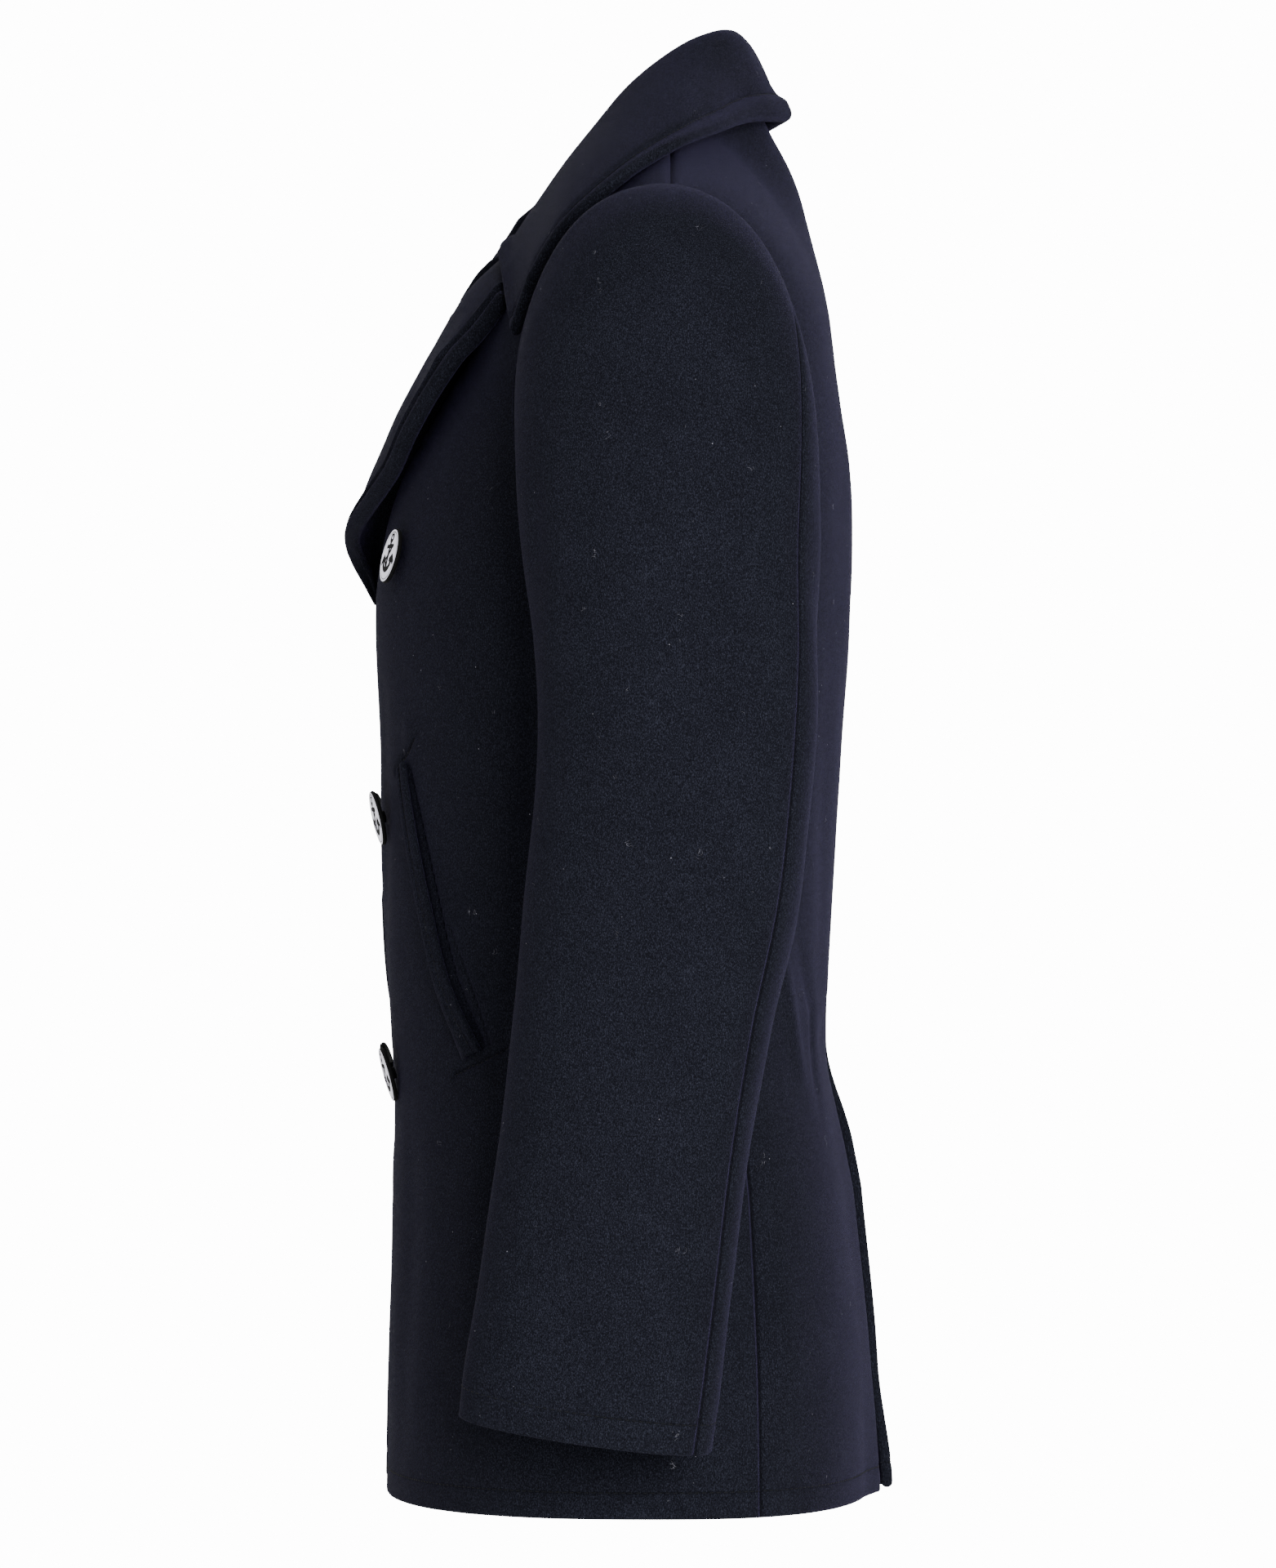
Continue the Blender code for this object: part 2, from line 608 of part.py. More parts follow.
def welt_point(across, along):
    """Across runs from the sewn front edge to the slit, along from the top to the foot."""
    slit_x = mix(POCKET_TOP[0], POCKET_FOOT[0], along)
    z = mix(POCKET_TOP[1], POCKET_FOOT[1], along) - 0.009 * (1 - across)
    x = slit_x - WELT_WIDTH * (1 - across)
    free = (WELT_STAND - 2 * SEAM) * across * math.sin(math.pi * along) ** 0.5
    stand = CLOTH + 2 * SEAM + free
    return torso_at(x, z) + torso_out(x, z) * stand


def make_welts(parts, melton):
    across = spread(0, 1, 3)
    along = spread(0, 1, 9)
    wall("welt_left", welt_point, across, along, CLOTH, -1, parts, melton)
    wall("welt_right", lambda u, v: mirrored(welt_point(u, v)), across, along, CLOTH, 1,
         parts, melton)


def button_mesh(name, material):
    """A shanked disc turned about Z: the foot of the shank is at the origin."""
    r = BUTTON / 2
    back, rim, crown = SHANK, SHANK + RIM, SHANK + CROWN
    profile = [(0.0, crown), (0.55 * r, mix(rim, crown, 0.8)), (0.80 * r, mix(rim, crown, 0.1)),
               (0.86 * r, rim), (0.95 * r, rim), (r, mix(back, rim, 0.5)),
               (0.93 * r, back), (SHANK_HALF, back), (SHANK_HALF, 0.0), (0.0, 0.0)]
    mesh = bpy.data.meshes.new(name)
    edges = [(k, k + 1) for k in range(len(profile) - 1)]
    mesh.from_pydata([(x, 0, z) for x, z in profile], edges, [])
    mesh.materials.append(material)
    return mesh


def make_buttons(parts, metal):
    for button in BUTTONS:
        foot = torso_at(button.x, button.z)
        # the top one of the right column is sewn to the right front, the others show on the left
        if button.x < FRONT_EDGE:
            foot.y += front_sink(-foot.x, foot.z) - 2 * SEAM
        else:
            foot.y -= front_edge_lift(foot.x, foot.z)
        out = torso_out(button.x, button.z)
        face = Vector((out.x, out.y, out.z + math.tan(math.radians(button.nod)))).normalized()
        made = add_object(button.name, button_mesh(button.name, metal), parts)
        made.location = foot + face * SHANK_GAP
        made.rotation_euler = face.to_track_quat("Z", "Y").to_euler()
        turn = made.modifiers.new("turned", "SCREW")
        turn.axis = "Z"
        turn.steps = 20
        turn.render_steps = 20
        turn.use_merge_vertices = True
        turn.merge_threshold = 0.00005
        turn.use_smooth_shade = True


def main():
    for old in list(bpy.data.objects):
        bpy.data.objects.remove(old, do_unlink=True)
    parts = bpy.data.collections.new("pea_coat")
    cutters = bpy.data.collections.new("cutters")
    bpy.context.scene.collection.children.link(parts)
    bpy.context.scene.collection.children.link(cutters)
    melton = new_material("navy_melton", (0.008, 0.008, 0.013), 0.95, 0.0)
    metal = new_material("silver_metal", (0.80, 0.79, 0.80), 0.22, 1.0)
    make_body(parts, cutters, melton)
    make_sleeves(parts, melton)
    make_collar(parts, melton)
    make_lapels(parts, melton)
    make_welts(parts, melton)
    make_buttons(parts, metal)


main()
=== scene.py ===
import json
import math

import bpy
import numpy as np
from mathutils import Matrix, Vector

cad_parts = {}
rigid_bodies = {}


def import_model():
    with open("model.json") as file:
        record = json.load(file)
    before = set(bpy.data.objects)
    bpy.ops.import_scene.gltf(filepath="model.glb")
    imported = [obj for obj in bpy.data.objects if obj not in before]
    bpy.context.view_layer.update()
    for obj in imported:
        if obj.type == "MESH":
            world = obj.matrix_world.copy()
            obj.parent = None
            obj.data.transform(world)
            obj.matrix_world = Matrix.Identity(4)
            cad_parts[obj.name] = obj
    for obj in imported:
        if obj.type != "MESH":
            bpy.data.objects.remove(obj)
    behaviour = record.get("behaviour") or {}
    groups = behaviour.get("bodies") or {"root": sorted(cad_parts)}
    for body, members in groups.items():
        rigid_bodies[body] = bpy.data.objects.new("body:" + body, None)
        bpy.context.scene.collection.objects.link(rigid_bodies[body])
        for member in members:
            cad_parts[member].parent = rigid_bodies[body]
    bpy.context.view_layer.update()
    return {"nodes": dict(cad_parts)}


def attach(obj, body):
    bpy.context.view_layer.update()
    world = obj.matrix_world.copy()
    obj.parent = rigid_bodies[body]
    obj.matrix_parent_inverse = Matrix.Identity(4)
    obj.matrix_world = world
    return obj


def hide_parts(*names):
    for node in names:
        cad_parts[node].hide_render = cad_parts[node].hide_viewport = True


# Pea coat, worn form, no wearer. Metres; the front faces -Y and the wearer's left is +X.
# Every piece of cloth is a thin shell on the form of its solid, with its own creases, rounded
# edges, stitched lines and nap. The buttons are metal, engraved with an anchor and a rope.

for old in list(bpy.data.objects):
    bpy.data.objects.remove(old, do_unlink=True)
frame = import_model()
print("frame loaded,", len(frame["nodes"]), "nodes")


def smooth(share):
    share = np.clip(share, 0.0, 1.0)
    return share * share * (3 - 2 * share)


def fadeIn(at, start, width):  # 0 up to the start, 1 a width on; a width below 0 runs downward
    return smooth((at - start) / width)


def mix(a, b, share):
    return a + (b - a) * share


def unit(vectors):
    return vectors / np.maximum(np.linalg.norm(vectors, axis=-1, keepdims=True), 1e-12)


def point(x, y, z):
    return np.stack(np.broadcast_arrays(x, y, z), axis=-1)


def readRows(rows, place):  # rows of numbers read between whole rows, on a smooth curve
    rows = np.asarray(rows, float)
    last = len(rows) - 1
    place = np.clip(np.asarray(place, float), 0, last)
    i = np.minimum(place.astype(int), last - 1)
    t = (place - i).reshape(place.shape + (1,) * (rows.ndim - 1))
    p, q, r, s = (rows[np.clip(i + k, 0, last)] for k in (-1, 0, 1, 2))
    pull, push = (r - p) / 2, (s - q) / 2
    return ((2 * t**3 - 3 * t**2 + 1) * q + (t**3 - 2 * t**2 + t) * pull
            + (3 * t**2 - 2 * t**3) * r + (t**3 - t**2) * push)


def columns(rows, place):
    return np.moveaxis(readRows(rows, place), -1, 0)


def bezier(p0, p1, p2, p3, t):
    t = np.asarray(t)[..., None]
    s = 1 - t
    return p0 * s**3 + p1 * 3 * s * s * t + p2 * 3 * s * t * t + p3 * t**3


def hill(far, half):  # 1 in the middle, falling off to nothing
    return np.exp(-((far / half) ** 2))


def fadeEnds(share, part):
    return smooth(share / part) * smooth((1 - share) / part)


def inwardOf(points, middle):
    return unit(point(-points[..., 0], middle - points[..., 1], 0.0))


def reachOf(steps):  # how far along a line each of its points is
    return np.concatenate([[0], np.cumsum(steps)])


def between(t, reach, rows):  # places read off a line at distances t
    return np.stack([np.interp(t, reach, rows[:, k]) for k in range(3)], axis=-1)


sides = {"Left": 1, "Right": -1}  # the wearer's left is +X


def nearLine(points, line):  # distance to a chain of points, and the share along it
    best = np.full(points.shape[:-1], 9.0)
    along = np.zeros(points.shape[:-1])
    line = np.asarray(line, float)
    for k, (a, b) in enumerate(zip(line[:-1], line[1:])):
        span = b - a
        t = np.clip(((points - a) @ span) / (span @ span), 0, 1)
        far = np.linalg.norm(points - a - t[..., None] * span, axis=-1)
        closer = far < best
        best = np.where(closer, far, best)
        along = np.where(closer, (k + t) / (len(line) - 1), along)
    return best, along


coat = {
    "cloth": 0.003,  # heavy melton
    "double": 0.0046,  # collar and lapels, two layers
    "seam": 0.0003,
    "join": 0.0007, "joinTurn": 0.25,  # how far sewn pieces reach into each other, and in degrees
    "lap": 0.0052, "lapHang": 0.035, "lapAcross": (0.012, 0.022), "lapHead": (-0.06, -0.04),
    "hem": -0.668,
    "neckHalf": 0.075, "neckSide": 0.022, "neckBack": 0.032,
    "shoulderFall": 0.3154, "shoulderY": 0.0165, "shoulderRound": 0.105,
    "frontEdge": -0.075, "breakZ": -0.214, "rollFoot": -0.070, "rollHead": 0.047, "gorge": -0.036,
    "armMiddle": (0.011, -0.127), "armHalf": (0.070, 0.108),
    "vent": -0.443, "ventHead": 0.030, "underlap": -0.030, "overlap": -0.010,
    "ventStand": 0.0068, "ventFlip": 0.0060, "edgeLift": 0.0030,
    # the free front edge stands off beside the waist, and gapes between the buttons
    "liftAcross": (-0.030, -0.040), "liftHead": (-0.26, -0.10), "liftFoot": (-0.56, 0.10),
    "edgeGape": 0.0068, "gapeAcross": (-0.056, -0.019), "gapeHead": (-0.335, -0.035),
    "lowButton": -0.456, "heldBy": 0.030,
    "ventFlare": 0.0045, "hemFlare": 0.0050,  # how far the layer below hangs out under the other
    "ventAcross": (0.022, 0.022), "flareAcross": (0.012, 0.075), "standAcross": (-0.010, 0.050),
    "ventTurns": 0.006,      # over how much height the vent's edges step out from the seam
    "sideSeam": 23.0, "armholeTurn": 8.0,  # degrees: behind the side; to each side in the armhole
    "seamParts": (-0.205, 0.13),  # from what height front and back part, and over how much
    "uneven": 0.0006,  # height of the slow waves of a broad face
}
hem = coat["hem"]

# level sections: height, front, back, half width, middle, roundness of front and back
sections = np.array([
    (-0.670, -0.1275, 0.1180, 0.2220, 0.0100, 2.50, 2.50),
    (-0.598, -0.1265, 0.1160, 0.2170, 0.0100, 2.45, 2.50),
    (-0.514, -0.1245, 0.1080, 0.2085, 0.0100, 2.35, 2.50),
    (-0.472, -0.1245, 0.1005, 0.2045, 0.0100, 2.30, 2.45),
    (-0.439, -0.1260, 0.0970, 0.2020, 0.0100, 2.30, 2.40),
    (-0.368, -0.1300, 0.1000, 0.2010, 0.0105, 2.25, 2.40),
    (-0.305, -0.1315, 0.1040, 0.2035, 0.0110, 2.20, 2.40),
    (-0.217, -0.1335, 0.1090, 0.2095, 0.0120, 2.15, 2.35),
    (-0.180, -0.1280, 0.1100, 0.2105, 0.0125, 2.10, 2.40),
    (-0.150, -0.1180, 0.1090, 0.2110, 0.0133, 2.10, 2.40),
    (-0.120, -0.1025, 0.1045, 0.2110, 0.0140, 2.10, 2.45),
    (-0.090, -0.0840, 0.1005, 0.2110, 0.0145, 2.30, 2.60),
    (-0.065, -0.0685, 0.0965, 0.2110, 0.0150, 2.90, 2.90),
    (-0.030, -0.0460, 0.0890, 0.2110, 0.0155, 4.00, 3.50),
    (0.000, -0.0260, 0.0805, 0.2110, 0.0165, 4.00, 4.00),
    (0.036, -0.0050, 0.0640, 0.2110, 0.0165, 4.00, 4.00),
])


def section(z):
    place = np.interp(z, sections[:, 0], np.arange(len(sections)))
    return columns(sections, place)[1:]


def shoulderHeight(x):
    return coat["neckSide"] - coat["shoulderFall"] * (np.abs(x) - coat["neckHalf"])


def neckHeight(x):
    across = np.minimum(np.abs(x) / coat["neckHalf"], 1)
    return coat["neckSide"] + (coat["neckBack"] - coat["neckSide"]) * np.cos(math.pi / 2 * across)


def torso(angle, z):  # 0 at the wearer's left side, -90 front, 90 back
    front, back, half, middle, frontRound, backRound = section(z)
    turn = np.radians(angle)
    across, along = np.cos(turn), np.sin(turn)
    curve = 2 / np.where(along < 0, frontRound, backRound)
    reach = np.where(along < 0, front, back) - middle
    x = np.sign(across) * half * np.abs(across) ** curve
    y = middle + reach * np.abs(along) ** curve
    below = np.clip((shoulderHeight(x) - z) / coat["shoulderRound"], 0, 1)
    full = mix(1.0, np.sqrt(1 - (1 - below) ** 2), smooth(np.abs(x) / coat["neckHalf"]))
    return point(x, coat["shoulderY"] + (y - coat["shoulderY"]) * full, z)


def angleAt(x, z, back):
    half, frontRound, backRound = (section(z)[k] for k in (2, 4, 5))
    power = (backRound if back else frontRound) / 2
    share = np.minimum(np.abs(x) / half, 1)
    angle = np.degrees(np.arccos(np.sign(x) * share**power))
    return angle if back else -angle


def torsoAt(x, z, back=False):
    return torso(angleAt(x, z, back), z)


def torsoOut(x, z, back=False):
    step = 0.002
    across = torsoAt(x + step, z, back) - torsoAt(x - step, z, back)
    up = torsoAt(x, z + step, back) - torsoAt(x, z - step, back)
    out = unit(np.cross(across, up))
    return -out if back else out


def rollX(z):  # the front's inner edge: straight, then the roll line, then the neckline
    low, gorge = coat["breakZ"], coat["gorge"]
    straight = mix(coat["frontEdge"], coat["rollFoot"], fadeIn(z - low, -0.02, 0.02))
    roll = mix(coat["rollFoot"], coat["rollHead"], (z - low) / (gorge - low))
    neck = mix(coat["rollHead"], coat["neckHalf"], (z - gorge) / (coat["neckSide"] - gorge))
    return np.where(z < low, straight, np.where(z < gorge, roll, neck))


def ventX(z, under):
    edge = coat["underlap"] if under else coat["overlap"]
    out = edge * fadeIn(z, coat["vent"], -coat["ventTurns"])
    return np.where(z > coat["vent"], 0.0, out) - coat["join"]


def seamAngle(z, side):  # side is -1 for a front, 1 for a back; they part inside the armhole
    seam = mix(coat["sideSeam"], side * coat["armholeTurn"], fadeIn(z, *coat["seamParts"]))
    return seam - side * coat["joinTurn"]


def panelPoint(across, up, inner, back):
    z = mix(hem, 0.0, up)
    for _ in range(12):
        angle = mix(angleAt(inner(z), z, back), seamAngle(z, 1 if back else -1), across)
        x = torso(angle, z)[..., 0]
        top = shoulderHeight(x)
        if back:
            top = np.where(np.abs(x) < coat["neckHalf"], neckHeight(x), top)
        z = mix(hem, top, up)
    return torso(angle, z)


def edgeLift(x, z):
    besideWaist = fadeIn(z, *coat["liftHead"]) * fadeIn(z, *coat["liftFoot"])
    return coat["edgeLift"] * fadeIn(x, *coat["liftAcross"]) * besideWaist


def edgeGape(x, z):  # held down where the lowest button is
    held = hill(z - coat["lowButton"], coat["heldBy"])
    below = fadeIn(z, *coat["gapeHead"])
    return coat["edgeGape"] * fadeIn(x, *coat["gapeAcross"]) * below * (1 - held)


def frontSink(x, z):
    cover = -rollX(z - coat["lapHang"])
    covered = 1 - fadeIn(x - cover, *coat["lapAcross"])
    return coat["lap"] * covered * fadeIn(z, *coat["lapHead"])


def frontPoint(across, up, under):
    p = panelPoint(across, up, rollX, False)
    x, z = p[..., 0], p[..., 2]
    p[..., 1] += frontSink(x, z) if under else -edgeLift(x, z) - edgeGape(x, z)
    return p


def backPoint(across, up, under):
    p = panelPoint(across, up, lambda z: ventX(z, under), True)
    x, z = p[..., 0], p[..., 2]
    if under:
        low = smooth((coat["vent"] + coat["ventHead"] - z) / (coat["ventHead"] - 0.002))
        p[..., 1] -= coat["lap"] * low * (1 - fadeIn(x, *coat["ventAcross"]))
        flare = coat["ventFlare"] * fadeIn(z, coat["vent"], -0.05)
        flare = flare + coat["hemFlare"] * fadeIn(z, hem + 0.075, -0.07)
        p[..., 1] += flare * (1 - fadeIn(np.abs(x), *coat["flareAcross"]))
        return p
    openShare = (coat["vent"] - z) / (coat["vent"] - hem)
    stand = coat["ventStand"] * smooth(openShare / 0.22)
    stand = stand + coat["ventFlip"] * fadeIn(openShare, 0.72, 0.28)
    p[..., 1] += stand * (1 - fadeIn(x, *coat["standAcross"]))
    return p


def sideX(y, z):  # how far out the torso is at a place on its side
    front = y < torso(np.zeros_like(z), z)[..., 1]
    low = np.where(front, -90.0, 0.0)
    high = np.where(front, 0.0, 90.0)
    for _ in range(36):
        half = (low + high) / 2
        less = torso(half, z)[..., 1] < y
        low, high = np.where(less, half, low), np.where(less, high, half)
    return torso((low + high) / 2, z)[..., 0]


def shares(length, step, near=(), far=(), fine=None):  # even lines, closer at the two edges
    rim = (0.0, 0.0003, 0.0009, 0.0017)
    marks = [d for d in rim + tuple(near)] + [length - d for d in rim + tuple(far)]
    count = max(2, round(length / step))
    marks += [length * k / count for k in range(1, count)]
    if fine:
        start, stop, small = fine
        marks = [m for m in marks if not start < m < stop]
        marks += list(np.linspace(start, stop, round((stop - start) / small)))
    marks = sorted(m for m in set(marks) if 0 <= m <= length)
    kept = [marks[0]]
    for m in marks[1:]:
        if m - kept[-1] > 0.00025:
            kept.append(m)
    kept[-1] = length
    return np.array(kept) / length


def beside(line):  # closer grid lines where a line is stitched
    return line[0] - 0.0012, line[0], line[0] + 0.0012


def gridNormals(points, facing):
    across = np.gradient(points, axis=1)
    along = np.gradient(points, axis=0)
    return unit(np.cross(across, along)) * facing


def stepsOf(points, axis):
    return np.linalg.norm(np.diff(points, axis=axis), axis=-1)


def edgeDistances(points):
    across, along = stepsOf(points, 1), stepsOf(points, 0)
    left = np.concatenate([np.zeros((len(points), 1)), np.cumsum(across, axis=1)], axis=1)
    foot = np.concatenate([np.zeros((1, points.shape[1])), np.cumsum(along, axis=0)], axis=0)
    return {"left": left, "right": left[:, -1:] - left, "foot": foot, "head": foot[-1:] - foot}


def foldsOf(points, folds):  # soft ridges and troughs: two or more places, half width, height
    total = np.zeros(points.shape[:-1])
    for line, half, height in folds:
        far, along = nearLine(points, line)
        ends = np.sin(math.pi * np.clip(along, 0.02, 0.98)) ** 0.6
        total += height * hill(far, half) * ends
    return total


def unevenness(points, seed):  # slow waves that keep a broad face from being too true
    x, y, z = np.moveaxis(points, -1, 0)
    wave = np.sin(31 * x + 17 * z + seed) * np.sin(23 * y - 19 * z + 2.1 * seed)
    return wave + 0.6 * np.sin(57 * y + 41 * z + 3.3 * seed) * np.sin(37 * x - 29 * z + seed)


def inScene(name, data):
    made = bpy.data.objects.new(name, data)
    bpy.context.scene.collection.objects.link(made)
    return made


def buildMesh(name, points, faces, material, values):
    mesh = bpy.data.meshes.new(name)
    mesh.from_pydata(points.reshape(-1, 3).tolist(), [], faces)
    for key, value in values.items():
        mesh.attributes.new(key, "FLOAT", "POINT").data.foreach_set("value", value)
    mesh.shade_smooth()
    mesh.materials.append(material)
    return inScene(name, mesh)


def tubeFaces(rings, around, turned):  # joins rings of points and closes both ends
    index = np.arange(rings * around).reshape(rings, around)
    after = np.roll(index, -1, axis=1)
    quads = np.stack([index[:-1], index[1:], after[1:], after[:-1]], axis=-1).reshape(-1, 4)
    if turned:
        quads, index = quads[:, [0, 3, 2, 1]], index[:, ::-1]
    return quads.tolist() + [index[0].tolist(), index[-1][::-1].tolist()]


def insideEdge(shell, side, distance, start, stop):  # a line on the face beside an edge
    points, normals, far = shell["outer"], shell["normals"], shell["edges"][side]
    if side in ("foot", "head"):
        points, normals, far = (np.swapaxes(a, 0, 1) for a in (points, normals, far))
    if side in ("right", "head"):
        points, normals, far = points[:, ::-1], normals[:, ::-1], far[:, ::-1]
    places, outs = [], []
    for row, out, d in zip(points, normals, far):
        if d[-1] > distance:
            places.append(between(distance, d, row))
            outs.append(between(distance, d, out))
    a, b = int(start * len(places)), int(stop * len(places))
    return np.array(places[a:b]), unit(np.array(outs[a:b]))


def onGrid(points, pairs, view):  # places of the piece seen from the side, the front or the back
    depth, across = (0, 1) if view == "side" else (1, 0)
    flat = points.reshape(-1, 3)
    found = []
    for a, z in pairs:
        far = np.hypot(flat[:, across] - a, flat[:, 2] - z)
        close = flat[far < far.min() + 0.004]
        found.append(close[np.argmax(np.abs(close[:, depth]))])
    return found


def placedFolds(points, folds, side):  # side is -1 on the wearer's right, where all is mirrored
    placed = []
    for view, pairs, half, height in folds:
        if view != "side" and side < 0:
            pairs = [(-a, z) for a, z in pairs]
        placed.append((onGrid(points, pairs, view), half, height))
    return placed


def makeShell(name, points, thick, facing, node, stitched, folds=(), hole=None, groove=None):
    side = -1 if name.endswith("Right") else 1
    normals = gridNormals(points, facing)
    away = edgeDistances(points)
    near = np.minimum.reduce(list(away.values()))
    rise = foldsOf(points, placedFolds(points, folds, side)) * smooth(near / 0.02)
    rise = rise + coat["uneven"] * unevenness(points, 1.7 + side) * smooth(near / 0.03)
    points = points + normals * rise[..., None]
    normals = gridNormals(points, facing)
    line = np.full(near.shape, 9.0)  # millimetres to the nearest stitched or slit line, where the cloth is painted dark as shade
    dip = np.zeros(near.shape)
    for edge, distance, depth, half, *lowest in stitched:
        far = np.abs(away[edge] - distance)
        if lowest:  # the line stops at a height
            far = np.where(points[..., 2] < lowest[0], 1.0, far)
        # shallow lines get a narrower band of painted shade
        line = np.minimum(line, far * 1000 + 0.6 * max(0.0, 1 - depth / 0.001))
        dip = np.maximum(dip, depth * hill(far, half))
    if groove is not None:
        line = np.minimum(line, groove)
    r = 0.47 * thick
    inset = r - np.sqrt(np.maximum(r * r - np.clip(r - near, 0, r) ** 2, 0))
    outer = points - normals * (inset + dip)[..., None]
    inner = points - normals * (thick - inset)[..., None]
    if hole is not None:
        outer, inner = outer + hole[1], inner + hole[1]
    rows, across = near.shape
    index = np.arange(rows * across).reshape(rows, across)
    quads = np.stack([index[:-1, :-1], index[:-1, 1:], index[1:, 1:], index[1:, :-1]], axis=-1)
    quads = quads.reshape(-1, 4)[:, :: (1 if facing > 0 else -1)]
    if hole is not None:
        quads = quads[~hole[0].ravel()[quads].all(axis=1)]
    count = rows * across
    starts, stops = quads.ravel(), np.roll(quads, -1, axis=1).ravel()
    open_ = ~np.isin(starts * count + stops, stops * count + starts)
    a, b = starts[open_], stops[open_]
    rim = np.stack([b, a, a + count, b + count], axis=-1)
    faces = np.concatenate([quads, quads[:, ::-1] + count, rim])
    used, faces = np.unique(faces, return_inverse=True)
    faces = faces.reshape(-1, 4)
    both = np.concatenate([outer.reshape(-1, 3), inner.reshape(-1, 3)])[used]
    lineBoth = np.concatenate([line.ravel(), np.full(count, 9.0)])[used]
    made = buildMesh(name, both, faces.tolist(), meltonCloth, {"line": lineBoth})
    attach(made, "root")
    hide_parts(node)
    print(f"{name}: {len(faces) * 2} triangles")
    return {"piece": made, "outer": outer, "normals": normals, "edges": away}


def hexColour(text):
    channels = [int(text[k:k + 2], 16) / 255 for k in (1, 3, 5)]
    linear = [c / 12.92 if c <= 0.04045 else ((c + 0.055) / 1.055) ** 2.4 for c in channels]
    return (*linear, 1.0)


def addNode(tree, kind, settings, links=()):
    node = tree.nodes.new("ShaderNode" + kind)
    for key, value in settings.items():
        if isinstance(key, str) and hasattr(node, key):
            setattr(node, key, value)
        else:
            node.inputs[key].default_value = value
    for key, source in dict(links).items():
        tree.links.new(source, node.inputs[key])
    return node


def newMaterial(name, settings):
    material = bpy.data.materials.new(name)
    material.use_nodes = True
    tree = material.node_tree
    inputs = tree.nodes["Principled BSDF"].inputs
    for key, value in settings.items():
        inputs[key].default_value = value
    return material, tree, inputs


def objectPlace(tree):
    return addNode(tree, "TexCoord", {}).outputs["Object"]


def noise(tree, place, size, detail=2.0, rough=0.5, distortion=0.0):
    made = addNode(tree, "TexNoise", {"Scale": 1000 / size, "Detail": detail,
                                               "Roughness": rough, "Distortion": distortion},
                   {"Vector": place})
    return made.outputs["Fac"]


def ramp(tree, source, stops):
    made = addNode(tree, "ValToRGB", {}, {"Fac": source})
    bar = made.color_ramp
    while len(bar.elements) < len(stops):
        bar.elements.new(0.5)
    for element, (place, colour) in zip(bar.elements, stops):
        element.position = place
        element.color = hexColour(colour)
    return made.outputs["Color"]


def window(tree, source, low, high, to=(0.0, 1.0)):
    made = addNode(tree, "MapRange", {"From Min": low, "From Max": high,
                                               "To Min": to[0], "To Max": to[1]}, {"Value": source})
    return made.outputs["Result"]


def toward(tree, base, colour, share):
    made = addNode(tree, "Mix", {"data_type": "RGBA", "B": hexColour(colour)},
                   {"Factor": share, "A": base})
    return made.outputs[2]


def maths(tree, operation, a, b=None, value=0.0):
    made = addNode(tree, "Math", {"operation": operation, 1: value}, {0: a})
    if b is not None:
        tree.links.new(b, made.inputs[1])
    return made.outputs["Value"]


melton = {
    "grain": 0.5,  # mm between tufts of the felted nap; the real ones are finer
    "mottle": 30.0,  # mm, faint patches where the nap lies another way
    "fibre": 7.0, "fleck": 4.0,  # mm, the bends of loose light fibres; cells of the specks
    "dark": "#08080c", "middle": "#111219", "light": "#2a2c37", "lint": "#8b8a94",
    "sunkLineShade": "#060609",  # painted shade down in stitched lines, seams and the pocket slit
    "sheen": 0.08, "sheenTint": "#9c90d6", "sheenRough": 0.20, "rough": 1.0, "gloss": 0.04,
    "napHeight": 0.0005, "lineDepth": 0.0007,
}


